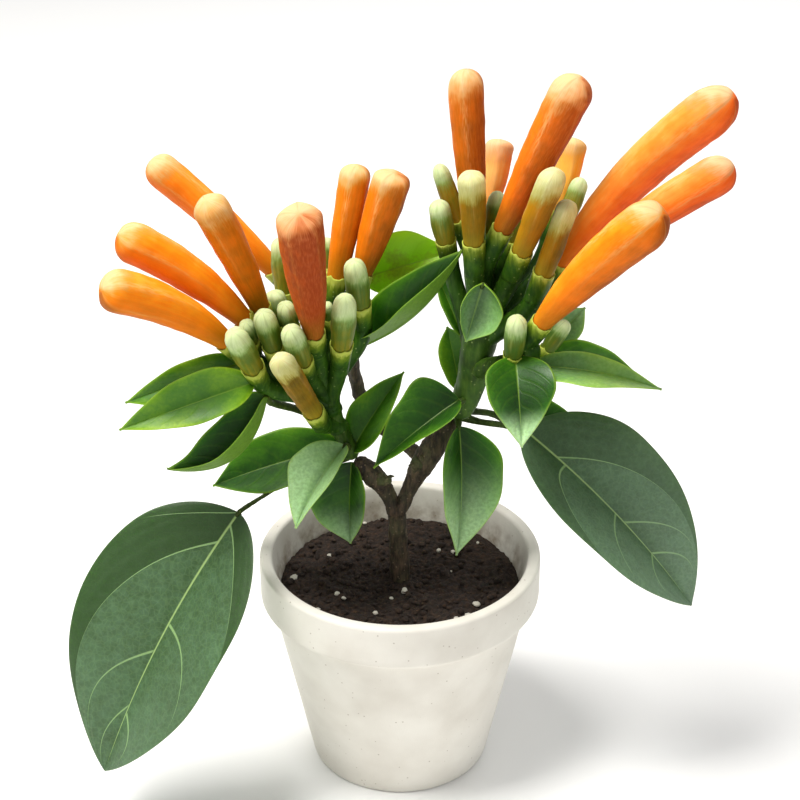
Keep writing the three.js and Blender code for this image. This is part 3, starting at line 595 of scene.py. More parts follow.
def leaf_finish(
    name, places, upper, vein, under, pattern, line_share, net, patch, uneven, wax, glow, rib, rib_share,
    rib_colour, edge, edge_share, edge_colour, coat, gloss, relief, shine, net_share=0, painted_shade_colour=None,
):
    """Leaf: patches of green, veins that also dent the blade, a painted sheen, a pale edge and a dull
    underside; on large leaves, painted shade by the base.
    """
    f = Finish(
        name, Subsurface_Weight=glow, Subsurface_Scale=0.0012, Subsurface_Radius=(0.7, 1, 0.08),
        Specular_IOR_Level=shine, Coat_Weight=coat, Coat_Roughness=0.3,
    )
    patches, fine = f.noise(patch), f.noise(0.9, 3, 0.6)
    lines, zone = pattern(f)
    tone = f.span(patches, 0.25, 0.75, 0.5 - uneven, 0.5 + uneven) + f.value("shade")
    f.base = f.ramp(tone + f.vary(fine, -0.03, 0.03), places, upper)
    mesh = f.span(f.cells(net, "DISTANCE_TO_EDGE"), 0.14, 0)
    # Painted sheen: a paler colour where the blade would reflect the sky's light
    sheen_share = f.value("wax") * f.vary(fine, 0.7, 1)
    if zone:
        f.paint(vein, mesh * net_share)
        # Painted shade on large leaves by the base, where the painted sheen is also left off
        f.base = f.mix(zone, colour(painted_shade_colour), f.base)
        sheen_share = sheen_share * zone
    f.paint(vein, lines * line_share)
    f.paint(rib_colour, f.span(f.value("rib"), rib, rib * 0.25) * rib_share)
    f.paint(wax, sheen_share)
    f.paint(f.mix(f.vary(fine, 0, 0.35), colour(under), colour(vein)), f.value("under"))
    f.paint(edge_colour, f.span(f.value("margin"), edge, edge * 0.2) * edge_share)
    rough = f.vary(patches, gloss, gloss + 0.1) + f.value("under") * 0.2
    height = fine * 0.3 - lines * 0.5 - mesh * 0.15
    return f.done(Roughness=rough, Normal=f.bump(height, relief, 0.7))


# Side veins of a young leaf lie this share of its length apart
VEIN_SPACING = 0.15


def even_veins(spacing, width):
    """Side veins at an even spacing along the midrib."""
    def pattern(f):
        away = f.math("PINGPONG", f.value("flow"), spacing / 2)
        return f.span(away, width, width * 0.3) * f.span(f.value("margin"), 0.4, 2.5), None
    return pattern


def past_vein(f, side, vein):
    """How far past a side vein each point of one side lies, as a share of the leaf's length."""
    place, lean, curve = vein
    out = f.value(side)
    return f.value("lengthwise") - place - (out * lean + f.math("POWER", out, 3) * curve)


def placed_veins(left, right, darker, width):
    """Side veins on given curves, thinner outward, and how far each point lies out of the painted shade
    by the base.
    """
    def pattern(f):
        total, zone = 0, 1
        for side, veins in (("left", left), ("right", right)):
            on_side = f.span(f.value(side), 0, 0.03)
            nearest = 1
            for vein in veins:
                nearest = f.math("MINIMUM", nearest, f.math("ABSOLUTE", past_vein(f, side, vein)))
            thin = f.math("MULTIPLY_ADD", f.value(side), width, width * -1.6)
            total = f.math("ADD", total, f.span(nearest + thin, 0, width * -0.9) * on_side)
            # Painted shade by the base, up to the first vein of each side
            dark = f.span(past_vein(f, side, veins[0]), 0.012, -0.012, 0, darker)
            zone = f.math("SUBTRACT", zone, dark * on_side)
        return total * f.span(f.value("margin"), 0.5, 4), zone
    return pattern


def young_leaf_finish():
    """Fresh glossy leaflets."""
    return leaf_finish(
        "leaf", (0.15, 0.38, 0.6, 0.78, 0.9, 1), "0f2e04 225005 427608 6c9812 98bc20 a6e41a",
        vein="7a9f26", under="557c20", pattern=even_veins(VEIN_SPACING, 0.02), line_share=0.05, net=2.2,
        patch=12, uneven=0.13, wax="bce2a6", glow=0.2, rib=0.5, rib_share=0.45, rib_colour="83a534",
        edge=0.8, edge_share=0.35, edge_colour="93b53c", coat=0.12, gloss=0.38, relief=0.1, shine=0.25,
    )


def large_leaf_finish(name):
    """Older large leaf: darker, less glossy, with clear side veins."""
    return leaf_finish(
        name, (0.2, 0.42, 0.62, 0.85), "1a3310 2b491c 3c5d36 557850",
        vein="84a668", under="56774a", pattern=placed_veins(*LARGE_VEINS[name], 0.0045), line_share=0.9,
        net=1.6, patch=2.5, uneven=0.09, wax="8ba58c", glow=0.08, rib=0.62, rib_share=0.9,
        rib_colour="93b068", edge=0.4, edge_share=0.25, edge_colour="5a7d46", coat=0.1, gloss=0.45,
        relief=0.12, shine=0.45, net_share=0.1, painted_shade_colour="213f0c",
    )


def bark_finish():
    """Brown bark with lengthwise cracks, paler ridges and a green cast at the young ends."""
    f = Finish("bark", Roughness=0.78)
    cracks, patches = f.noise(1.2, 5, 0.65, (1, 1, 0.2)), f.noise(5, 3, 0.6)
    f.base = f.ramp(cracks, (0.32, 0.48, 0.62, 0.8), "1d1611 3d3025 5b4938 80694f")
    f.paint("6e6a4a", f.span(patches, 0.52, 0.72, 0, 0.4))
    f.paint("53602f", f.value("green") * f.span(patches, 0.3, 0.6))
    specks = f.specks(1.6, 0.2, 0.12)
    f.paint("97846a", specks * 0.45)
    return f.done(Normal=f.bump(cracks + specks * 0.15, 0.5, 0.9))


def soil_finish():
    """Damp potting mix: dark crumbs with paler fibres."""
    f = Finish("soil", Roughness=0.92)
    clods, fibres = f.noise(1.6, 6, 0.7), f.noise(0.7, 3, 0.6, (0.35, 1, 1))
    f.base = f.ramp(clods, (0.3, 0.5, 0.68, 0.85), "120c08 2a1d14 463223 6a5138")
    f.paint("7d6142", f.span(fibres, 0.6, 0.78, 0, 0.55))
    f.paint("d9d4c6", f.value("pale"))
    return f.done(Normal=f.bump(clods, 0.9, 1))


def pot_finish():
    """Matt off-white stoneware with fine specks, throwing lines, and a mottled inside wall darker and
    browner towards the soil.
    """
    f = Finish("pot", Specular_IOR_Level=0.35)
    cloud = f.noise(18, 4)
    f.base = f.ramp(cloud, (0.3, 0.55, 0.8), "d6d1c6 e2ded4 ebe8df")
    f.paint("8c7d68", f.specks(2.3, 0.13, 0.08) * f.span(f.noise(3, 1), 0.5, 0.56) * 0.55)
    f.paint("8a7965", f.value("inside") * f.span(f.noise(6, 4, 0.6), 0.3, 0.75))
    height = f.noise(0.35, 2) * 0.4 + f.noise(2.6, 2, 0.5, (0.02, 0.02, 1))
    return f.done(Roughness=f.vary(cloud, 0.48, 0.62), Normal=f.bump(height, 0.16, 0.6))


# Flowers
CALYX = Sizes(
    length=10, rim=3.15, bell_place=0.45, bell=3.1, neck=2.9, stalk=2.85, seat=3, tooth=0.6,
    wall=0.28, mouth=2.69, teeth=5, frill=0.2, frills=23, inset=1.5, depth=0.32, hold=0.07, sides=60,
    steps=22, inner_steps=8, tooth_half=0.3, tooth_point=1.3,
)
COROLLA = Sizes(
    foot=2.75, seat=2, shoulder=0.86, lobes=5, sides=80, steps=84, angular=0.3, overlap=0.035,
    twist=0.2, fold=0.15, seam=0.05,
    places=(0, 0.22, 0.5, 0.74, 0.88), swells=(0, 0.42, 0.79, 0.95, 1),
)
BUD = Sizes(
    calyx_base=6, rim=0.94, bell_place=0.5, bell=0.84, stalk=0.76, taper=1.03, mouth=0.8,
    below=0.2, shoulder=0.74, blunt=2.3, sides=40, steps=44, fold=0.12, seam=0.06,
    places=(-0.2, 0, 0.1, 0.45, 0.74), swells=(0.7, 0.82, 0.87, 1, 0.93),
)
STALK = Sizes(leaving=0.35, arriving=0.4, sides=14, steps=22, collar=0.35, collar_length=0.08)
# How the rings of a flower crowd to its tip, how far they reach, and the least they close to
TIP = Sizes(crowding=1.6, reach=0.9985, least=0.0004)
# How light the rim of each head's calyces is, and how a corolla's pale tip fades downward: the
# place of full paleness, the shortest fade, and the fade's power on old and young blooms
PALE_RIM = {"left": 1.15, "right": 1}
FADE = Sizes(full=1.02, shortest=0.18, power=1.2, young_power=0.65)


def flower_axis(foot, tip, bow):
    """The axis of a flower by the distance from its foot, its length, and its way at the foot."""
    foot, tip = np.array(foot, float), np.array(tip, float)
    chord = tip - foot
    length = np.linalg.norm(chord)
    chord = chord / length
    upward = unit(np.array((0, 0, 1.0)) - chord * chord[2])
    middle = (foot + tip) / 2 + upward * 2 * bow
    start = unit(middle - foot)

    def at(distance):
        distance = np.asarray(distance, float)[..., None]
        share = np.maximum(distance, 0) / length
        return np.where(distance < 0, foot + start * distance, bend(foot, middle, tip, share))

    return at, length, start


def along_flower(below, steps):
    """Shares of a flower's length from below its foot to its tip, closer together at the tip."""
    even = np.linspace(0, 1, steps)
    return -below + (1 + below) * (1 - (1 - even) ** TIP.crowding) * TIP.reach


def closed(outer, share, shoulder, blunt):
    """Radii that close over a more or less blunt tip beyond the shoulder."""
    close = np.clip((share - shoulder) / (1 - shoulder), 0, 1)
    return outer * np.sqrt(np.maximum(1 - close**blunt, TIP.least))


def places_round(turn, share, length, seed):
    """The values that draw streaks along a flower."""
    along = share[:, None] * length / 10 + seed
    return {"round_x": np.cos(turn), "round_y": np.sin(turn), "along": along}


def lobe_lines(turn, phase, sharp):
    """How near each angle is to the seam between two lobes (0 to 1), and its place in its lobe."""
    place = (turn * COROLLA.lobes / TURN + phase) % 1
    seam = np.minimum(place, 1 - place)
    return np.exp(-((seam / sharp) ** 2)), place


def add_corolla(surface, bloom, is_young, seed):
    """A folded corolla: slender tube, swollen top, and lobes that meet in ridges over its tip."""
    foot, tip, radius, bow, _, warmth, pale_from, blunt, rosy = bloom
    at, length, _ = flower_axis(foot, tip, bow)
    varied = np.random.default_rng(seed)
    phase = varied.uniform()
    share = along_flower(CALYX.seat / length, COROLLA.steps)
    swell = through(COROLLA.places, COROLLA.swells, np.clip(share, 0, COROLLA.shoulder))
    outer = COROLLA.foot + (radius - COROLLA.foot) * swell
    seat = np.clip(-share * length / CALYX.seat, 0, 1)
    outer = outer + (COROLLA.seat - COROLLA.foot) * seat
    outer = closed(outer, share, COROLLA.shoulder, blunt)
    turn = angles(COROLLA.sides)[None]
    s = share[:, None]
    twist = phase + COROLLA.twist * s
    wide, place = lobe_lines(turn, twist, COROLLA.fold)
    thin, _ = lobe_lines(turn, twist, COROLLA.seam)
    swollen = smooth(0.05, 0.4, s)
    corner = 1 / np.cos((place - 0.5) * TURN / COROLLA.lobes) - 1.07
    factor = 1 + COROLLA.angular * corner * swollen - 0.02 * thin * smooth(0.5, 0.9, s)
    factor = factor + (place - 0.5) * COROLLA.overlap * smooth(0.6, 0.95, s)
    factor = factor + 0.02 * np.cos(turn * 2 + varied.uniform(0, 6)) * swollen
    factor = factor + 0.03 * np.cos(turn + varied.uniform(0, 6)) * smooth(0.8, 1, s)
    path = at(share * length)
    grid = rings(path, outer[:, None] * factor, COROLLA.sides)
    grid = roughen(grid, path, depth=0.14, size=9, seed=seed, share=smooth(0.1, 0.3, s))
    # How far each point faces the light; the colours below paint light and shade from it
    lit = unit(grid - path[:, None]) @ SKYWARD
    # Painted light and shade: yellower on the side toward the light, and on golden blooms darker red on
    # the side away from it
    warm = warmth + 0.4 * lit + 0.06 * ripple(grid, 14, seed + 1) - 0.08 * smooth(0.3, 0.05, s)
    warm = warm - 0.25 * (1 - rosy) * smooth(0.35, 0.95, -lit)
    # The pale tip reaches further down on the side toward the light: painted light
    near_tip = s + 0.15 * lit + 0.04 * wide + 0.03 * ripple(grid, 5, seed + 2)
    fade = np.clip((near_tip - pale_from) / max(FADE.full - pale_from, FADE.shortest), 0, 1)
    surface.shell(
        grid,
        warm=warm,
        cap=fade ** (FADE.young_power if is_young else FADE.power),
        # Rosier on the side away from the light: painted shade
        rosy=np.clip(rosy - 0.4 * lit, 0, 1),
        line=thin * smooth(0.25, 0.8, s) * (1 - 0.6 * smooth(0.85, 1, s)) * min(2 * warmth, 1),
        # A pale band along the lobe folds on the side toward the light: a painted highlight
        band=wide * smooth(0.2, 0.9, s) * smooth(-0.2, 0.7, lit),
        groove=thin * smooth(0.9, 0.99, s),
        foot=(1 - smooth(0.02, 0.3, s)) * (0.8 if is_young else 0.35),
        **places_round(turn, share, length, seed),
    )


def bud_calyx(radius):
    """The sizes that differ in the calyx of a closed bud, from the bud's radius."""
    neck = min(CALYX.neck, radius * BUD.stalk)
    return Sizes(
        length=min(CALYX.length, BUD.calyx_base + radius), rim=radius * BUD.rim, bell=radius * BUD.bell,
        bell_place=BUD.bell_place, neck=neck, stalk=neck * BUD.taper, mouth=radius * BUD.mouth,
    )


def add_stalk(surface, shoot, start, at, axis_start, calyx):
    """A flower stalk from the shoot to its calyx."""
    near = stem_at(shoot, [start, max(start - 0.01, 0), min(start + 0.01, 1)])[:, :3]
    root, leaving = near[0], unit(near[2] - near[1])
    end = at(CALYX.inset - calyx.length)
    reach = np.linalg.norm(end - root)
    first = root + leaving * STALK.leaving * reach
    second = end - axis_start * STALK.arriving * reach
    t = np.linspace(0, 1, STALK.steps)[:, None]
    path = (
        (1 - t) ** 3 * root + 3 * t * (1 - t) ** 2 * first + 3 * t * t * (1 - t) * second + t**3 * end
    )
    collar = STALK.collar * np.exp(-t / STALK.collar_length)
    widths = calyx.stalk + (calyx.neck - calyx.stalk) * smooth(0.5, 1, t) + collar
    grid = rings(path, widths, STALK.sides)
    surface.shell(roughen(grid, path, depth=0.1, size=4, seed=5), rim=0, brown=0)


def add_calyx(surface, at, calyx, pale, seed):
    """A bell-shaped calyx with small teeth, whose inner wall narrows to hold the flower."""
    turn = angles(CALYX.sides)[None]
    varied = np.random.default_rng(seed)
    phase = varied.uniform()
    place = (turn * CALYX.teeth / TURN + phase) % 1
    tooth = np.maximum(1 - np.abs(place - 0.5) / CALYX.tooth_half, 0) ** CALYX.tooth_point
    tooth = tooth * CALYX.tooth * calyx.rim / CALYX.rim
    tooth = tooth * (1 + 0.4 * np.cos(turn + varied.uniform(0, 6)))
    ruffle = 0.5 + 0.5 * np.cos(turn * CALYX.frills)
    tooth = tooth + CALYX.frill * ruffle * (0.5 + 0.5 * np.cos(turn * 3 + phase))
    height = np.linspace(-1, 0, CALYX.steps)
    out = through((-1, -calyx.bell_place, 0), (calyx.neck, calyx.bell, calyx.rim), height)
    inner_height = np.linspace(0, -CALYX.depth, CALYX.inner_steps)
    inner_widths = (calyx.mouth - 0.1, calyx.mouth, calyx.rim - CALYX.wall)
    inner = np.interp(inner_height, (-CALYX.depth, -CALYX.hold, 0), inner_widths)
    share = np.concatenate([height, inner_height])
    width = np.concatenate([out, inner])
    lifted = smooth(-0.2, 0, share)[:, None]
    rise = (tooth - 0.25) * lifted
    flare = 1 + 0.05 * tooth * lifted
    path = at(share * calyx.length)
    along = unit(at(0.0) - at(-1.0))
    side = unit(np.cross(along, ACROSS_FROM))
    across = np.cross(along, side)
    ribs = 1 + 0.02 * np.cos(turn * CALYX.teeth + TURN * phase)
    reach = width[:, None] * flare * ribs
    grid = (
        path[:, None] + along * rise[..., None]
        + side * (reach * np.cos(turn))[..., None] + across * (reach * np.sin(turn))[..., None]
    )
    surface.shell(grid, rim=pale + np.minimum(share, 0)[:, None], brown=0)


def add_bud(surface, bud, seed):
    """A closed bud: swollen, with the faint seams of its folded lobes."""
    foot, tip, radius, bow, _, ripe = bud
    at, length, _ = flower_axis(foot, tip, bow)
    share = along_flower(BUD.below, BUD.steps)
    outer = radius * through(BUD.places, BUD.swells, share)
    outer = closed(outer, share, BUD.shoulder, BUD.blunt)
    turn = angles(BUD.sides)[None]
    s = share[:, None]
    phase = np.random.default_rng(seed).uniform()
    wide, place = lobe_lines(turn, phase, BUD.fold)
    thin, _ = lobe_lines(turn, phase, BUD.seam)
    factor = 1 - 0.05 * wide * smooth(0.4, 0.9, s) + (place - 0.5) * 0.04 * smooth(0.5, 0.9, s)
    path = at(share * length)
    grid = rings(path, outer[:, None] * factor, BUD.sides)
    grid = roughen(grid, path, depth=0.08, size=5, seed=seed)
    surface.shell(
        grid,
        ripe=ripe + 0.15 * ripple(grid, 7, seed + 1) + 0.15 * smooth(0.6, 0.1, s),
        cap=smooth(0.34 + 0.15 * ripe, 0.95, s + 0.05 * ripple(grid, 4, seed + 2)),
        line=thin * smooth(0.1, 0.4, s) * (1 - smooth(0.6, 0.95, s)),
        groove=thin * smooth(0.6, 0.9, s),
        **places_round(turn, share, length, seed),
    )


# Stems
def add_stem(surface, row, sides, steps, seed, rough, **values):
    """A round stem with domed ends, slight swellings and lengthwise ridges."""
    shares = np.linspace(0, 1, steps)
    stem = stem_at(row, shares)
    path, radii = stem[:, :3], stem[:, 3]
    length = np.linalg.norm(np.diff(path, axis=0), axis=1).sum()
    away = np.minimum(shares, 1 - shares) * length
    dome = np.sqrt(np.clip(1 - (1 - np.clip(away / radii, 0, 1)) ** 2, 0.02, 1))
    grid = rings(path, (radii * dome)[:, None], sides)
    grid = roughen(grid, path, rough, size=4, seed=seed)
    grid = roughen(grid, path, rough * 0.6, size=1.4, seed=seed + 1, squash=(1, 1, 0.25))
    surface.shell(grid, **values)


def add_scale(surface, base, tip, radius, seed):
    """A dry bud scale: a small pointed, bent cone."""
    base, tip = np.array(base, float), np.array(tip, float)
    t = np.linspace(0, 1, 12)
    arch = np.array(SCALE_ARCH) * (4 * t * (1 - t))[:, None]
    path = base + (tip - base) * t[:, None] + arch
    radii = radius * (1 - t**1.4) + 0.06
    grid = rings(path, radii[:, None], 14)
    surface.shell(roughen(grid, path, depth=0.12, size=1.3, seed=seed), green=0.3)


# How near a stalk ends to the leaf that it bears, and how deep and thick it runs on into the blade
LEAF_JOIN = Sizes(reach=3, depth=1.5, radius=0.5)


def into_leaf(row):
    """A leaf stalk's row, carried on into the blade that it bears."""
    end = np.array(row[-1][:3], float)
    leaves = (np.array(leaf[:2], float) for leaf in LEAVES.values())
    base, tip = min(leaves, key=lambda ends: np.linalg.norm(ends[0] - end))
    if np.linalg.norm(base - end) > LEAF_JOIN.reach:
        return row
    return [*row, (*(base + unit(tip - base) * LEAF_JOIN.depth), LEAF_JOIN.radius)]


def build_wood(bark):
    """Trunk, arms, twig and stubs, with bud scales at the stubs."""
    surface = Surface()
    limbs = (TRUNK, 90), (LEFT_ARM, 60), (RIGHT_ARM, 80), (BACK_TWIG, 90)
    for seed, (row, steps) in enumerate(limbs):
        add_stem(surface, row, 36, steps, seed, rough=0.28, green=0.1)
    for seed, row in enumerate((LEFT_STUB, RIGHT_STUB)):
        add_stem(surface, row, 28, 24, 20 + seed, rough=0.35, green=0.55)
    for seed, row in enumerate(TWIG_STALKS):
        add_stem(surface, row, 16, 40, 30 + seed, rough=0.08, green=0.8)
    for seed, (base, tip, radius) in enumerate(BUD_SCALES):
        add_scale(surface, base, tip, radius, 40 + seed)
    surface.build("bark_stem", bark, "wood", "woody_stem")


def build_head(side, shoots, stalks, blooms, buds, green, bud_look):
    """One head: green stems and calyces, and its closed buds."""
    node = f"{side}_head"
    stems, bodies = Surface(), Surface()
    for seed, row in enumerate(shoots):
        add_stem(stems, row, 32, 90, 50 + seed, rough=0.16, rim=0, brown=0.12)
    for seed, row in enumerate(stalks):
        add_stem(stems, into_leaf(row), 14, 12 * len(row), 60 + seed, rough=0.05, rim=0, brown=0.3)
    held = [(*pair, CALYX) for pair in blooms] + [(*pair, bud_calyx(pair[1][2])) for pair in buds]
    seeds = [*range(len(blooms)), *range(20, 20 + len(buds))]
    for seed, (shoot, flower, calyx) in zip(seeds, held):
        foot, tip, _, bow, start = flower[:5]
        at, _, axis_start = flower_axis(foot, tip, bow)
        add_stalk(stems, shoot, start, at, axis_start, calyx)
        add_calyx(stems, at, calyx, PALE_RIM[side], seed)
    for seed, (_, bud) in enumerate(buds):
        add_bud(bodies, bud, 100 + seed)
    stems.build(f"{side}_stems", green, "shoot", node)
    bodies.build(f"{side}_buds", bud_look, "shoot", node)


# Leaves
# Kinds of blade: rows and columns of points, outline, waves of the edge, how far the veins sweep
# to the tip, whether they alternate, and how deep the painted shade in the fold by the midrib is, with
# the edge painted lighter
SMALL_BLADE = Sizes(
    rows=72, columns=41, base_round=2.3, base_width=0.56, tip_fall=1.8, tip_point=1.1,
    wavy=0.02, frill=0.03, sweep=0.2, stagger=0.06, light_edge=0.2,
)
LARGE_BLADE = Sizes(
    rows=130, columns=81, base_round=2.3, base_width=0.52, tip_fall=2, tip_point=0.85,
    wavy=0.008, frill=0.02, sweep=0.42, stagger=0, light_edge=0.04,
)
# Every blade: its least half width, half its thickness and how much thinner its edge is, how deep
# its quilting is, and how wide and deep the rib below its midrib is
BLADE = Sizes(least=0.35, thick=0.2, thinner=0.7, quilt=0.003, rib=0.9, keel=0.028, keel_power=0.75)


def half_width(u, widest, blade):
    """The blade's half width along its midrib, as a share of its widest."""
    near = (1 - np.clip(1 - u / widest, 0, 1) ** blade.base_round) ** blade.base_width
    far = np.clip((u - widest) / (1 - widest), 0, 1)
    return np.where(u < widest, near, (1 - far**blade.tip_fall) ** blade.tip_point)


def build_leaf(name, row, material, slot, blade, seed):
    """A folded, arched blade with dented veins and a raised rib below."""
    base, tip, halves, turn, fold, arch, sway, widest, fresh = row
    base, chord = np.array(base, float), np.array(tip, float) - np.array(base, float)
    length = np.linalg.norm(chord)
    along = chord / length
    facing = unit(VIEWER - along * (VIEWER @ along))
    angle = math.radians(turn)
    facing = facing * math.cos(angle) + np.cross(along, facing) * math.sin(angle)
    across = np.cross(along, facing)
    even = np.linspace(0, 1, blade.rows)
    u = (0.3 * even + 0.7 * (1 - np.cos(math.pi * even)) / 2)[:, None]
    v = np.linspace(-1, 1, blade.columns)[None]
    size = np.abs(v)
    half = np.where(v > 0, halves[0], halves[1])
    width = np.maximum(half * half_width(u, widest, blade), BLADE.least)
    waves = 1 + blade.wavy * np.sin(u * 17 + np.where(v > 0, 1, 3.1) + seed) * smooth(0.5, 1, size)
    rise = 4 * u * (1 - u)
    shift = BOWED.get(name, 0) * rise
    reach = (width - np.sign(v) * shift) * size * waves
    tilt = math.radians(fold)
    if name in CUPPED:
        curve = 2 * tilt * size
        aside = width * waves * np.sin(curve) / (2 * tilt)
        lift = width * waves * (1 - np.cos(curve)) / (2 * tilt)
    else:
        aside = reach * math.cos(tilt)
        lift = reach * math.sin(tilt) + 0.05 * width * 4 * size**2 * (1 - size) * math.cos(tilt)
    frill = blade.frill * half * size**3
    lift = lift + frill * np.sin(u * 13 + np.where(v > 0, 0, 2.2) + seed * 1.7) * smooth(0, 0.15, u)
    flow = u - 0.16 * size - blade.sweep * size**3
    hollows = np.cos(TURN * flow / VEIN_SPACING) * 4 * size * (1 - size)
    quilt = BLADE.quilt * half * hollows * smooth(0, 0.2, u)
    middle = (
        base + chord * u[..., None]
        + across * (sway * rise + shift + np.sign(v) * aside)[..., None]
        + facing * (arch * rise + lift - quilt)[..., None]
    )
    normal = unit(np.cross(np.gradient(middle, axis=1), np.gradient(middle, axis=0)))
    if np.einsum("ijk,k->", normal, facing) < 0:
        normal = -normal
    thick = BLADE.thick * (1 - BLADE.thinner * size**4)
    ridge = np.exp(-((reach / (BLADE.rib * (1 - 0.7 * u))) ** 2))
    keel = BLADE.keel * length**BLADE.keel_power * (1 - 0.85 * u) * ridge
    # Painted sheen, stronger towards the tip
    sheen_from, sheen_strength = PAINTED_SHEEN.get(name, (0, 0))
    patchy = 0.06 * ripple(middle, size=30, seed=seed)
    surface = Surface()
    surface.sheet(
        middle + normal * thick[..., None],
        middle - normal * (thick + keel)[..., None],
        rib=reach / (1.15 - u),
        margin=width * (1 - size),
        flow=flow + blade.stagger * np.clip(v * 12, -1, 1) + 4,
        lengthwise=u,
        left=np.maximum(v, 0),
        right=np.maximum(-v, 0),
        # The leaf's tone with painted light and shade: lighter or darker per leaf by how fresh and how
        # lit it is, and darker in the fold by the midrib
        shade=0.3 * (fresh - 0.4) + patchy + blade.light_edge * (size**2 - 0.35),
        wax=sheen_strength * smooth(sheen_from, 1, u) * (0.5 + 0.5 * smooth(0, 0.3, size)),
    )
    surface.build(f"blade_{name}", material, slot, f"leaf_{name}")


# Pot and soil
POT = Sizes(
    height=70, base=27, body_top=38.6, body_height=55, rim=42, rim_bottom=57.5, round=1.2, floor=4.5,
    inner_base=24, inner_top=38.4, centre=0.05, sides=144, longest=2.5,
    drain=3, drain_ring=14, drains=3, drain_sides=32,
)
# Potting mix: its top, its gap to the pot, the stem hole with the heights of its floor and of a ring
# in its wall, and the rings and sides of its points; then the number and sizes of its loose crumbs,
# how far they keep off its edges and tilt, and which kinds are pale grains or flakes of bark
SOIL = Sizes(
    top=60, gap=0.3, hole=3.15, under=30, well=45, rings=96, sides=220,
    crumbs=420, smallest=0.35, largest=1.25, keep_off=1.6, tilt=0.4, pale_from=0.94,
    flakes=(0.6, 0.8), flake_shape=(1.9, 0.7, 0.45),
)


def inner_radius(z):
    """The pot's inside at a height."""
    spread = (POT.inner_top - POT.inner_base) * (z - POT.floor)
    return POT.inner_base + spread / (POT.height - POT.floor)


def rounded(corners, radius, steps=6):
    """A profile with its inner corners rounded."""
    corners = np.array(corners, float)
    points = [corners[0]]
    for before, corner, after in zip(corners, corners[1:], corners[2:]):
        shorter = min(np.linalg.norm(corner - before), np.linalg.norm(after - corner))
        cut = min(radius, 0.45 * shorter)
        start = corner + unit(before - corner) * cut
        end = corner + unit(after - corner) * cut
        points += [bend(start, corner, end, t) for t in np.linspace(0, 1, steps)]
    return np.array(points + [corners[-1]])


def split_long(profile, longest):
    """A profile with its long stretches split evenly."""
    points = [profile[0]]
    for start, end in zip(profile, profile[1:]):
        count = max(1, math.ceil(np.linalg.norm(end - start) / longest))
        points += [start + (end - start) * k / count for k in range(1, count + 1)]
    return np.array(points)


def lathe(profile, sides):
    """Rings of points for a profile of radius and height turned about Z."""
    turn = angles(sides)
    radius, height = profile[:, :1], profile[:, 1:]
    return np.stack([
        radius * np.cos(turn), radius * np.sin(turn), np.repeat(height, sides, axis=1),
    ], axis=-1)


def build_pot(material):
    """The pot, turned from its profile, with its drain holes cut."""
    top = POT.height
    corners = [
        (POT.centre, 0), (POT.base, 0), (POT.body_top, POT.body_height),
        (POT.rim, POT.rim_bottom - 0.6), (POT.rim, top), (inner_radius(top), top),
        (POT.inner_base, POT.floor), (POT.centre, POT.floor),
    ]
    profile = split_long(rounded(corners, POT.round), POT.longest)
    radius, height = profile.T
    wall = (radius < inner_radius(height) + 0.4) & (height > POT.floor - 0.5)
    inside = np.where(wall, 1 - smooth(SOIL.top, top - 1, height), 0)[:, None]
    surface = Surface()
    surface.shell(lathe(profile, POT.sides), inside=inside)
    pot = surface.build("turned_pot", material, "pot", "pot")
    drills = Surface()
    for angle in angles(POT.drains) + math.pi / 6:
        centre = np.array((math.cos(angle), math.sin(angle), 0)) * POT.drain_ring
        path = centre + np.array(((0, 0, -2), (0, 0, POT.floor + 2)))
        drills.shell(rings(path, POT.drain, POT.drain_sides))
    tool = drills.build("drill", material, "pot")
    cut = pot.modifiers.new("drains", "BOOLEAN")
    cut.object = tool
    cut.solver = "EXACT"
    bpy.context.view_layer.update()
    done = pot.evaluated_get(bpy.context.evaluated_depsgraph_get())
    mesh = bpy.data.meshes.new_from_object(done)
    pot.modifiers.clear()
    pot.data = mesh
    bpy.data.objects.remove(tool)


def build_soil(material):
    """The potting mix, rough on top, and the crumbs, bark bits and grains that lie on it."""
    edge = inner_radius(SOIL.top) - SOIL.gap
    across = np.linspace(SOIL.hole, edge, SOIL.rings)
    grid = lathe(np.stack([across, np.full(len(across), SOIL.top)], axis=-1), SOIL.sides)
    coarse = 0.9 * ripple(grid, size=16, seed=3)
    fine = 0.55 * ripple(grid, size=3.2, seed=4) + 0.3 * ripple(grid, size=1.5, seed=5)
    settle = smooth(edge, edge - 5, across)[:, None]
    grid[..., 2] += coarse * settle + fine - 0.9 * (1 - settle)
    limit = (inner_radius(grid[..., 2]) - SOIL.gap * 0.5) / np.linalg.norm(grid[..., :2], axis=-1)
    grid[..., :2] *= np.minimum(limit, 1)[..., None]
    outer = np.array([(inner_radius(z) - SOIL.gap, z) for z in (SOIL.under, POT.floor + SOIL.gap)])
    well = np.array(((SOIL.hole, SOIL.under), (SOIL.hole, SOIL.well)))
    surface = Surface()
    surface.shell(np.concatenate([lathe(well, SOIL.sides), grid, lathe(outer, SOIL.sides)]), pale=0)
    for _ in range(SOIL.crumbs):
        distance = math.sqrt(random.uniform(0.02, 1)) * (edge - SOIL.keep_off)
        angle = random.uniform(0, TURN)
        if distance < SOIL.hole + SOIL.keep_off:
            continue
        size = random.uniform(SOIL.smallest, SOIL.largest)
        flat = random.uniform(0.4, 1)
        kind = random.uniform()
        row = int((distance - SOIL.hole) / (edge - SOIL.hole) * (SOIL.rings - 1))
        column = int(angle / TURN * SOIL.sides) % SOIL.sides
        height = grid[row, column, 2] + size * flat * 0.35
        centre = np.array((distance * math.cos(angle), distance * math.sin(angle), height))
        add_crumb(surface, centre, size, flat, kind)
    surface.build("potting_mix", material, "soil", "soil")


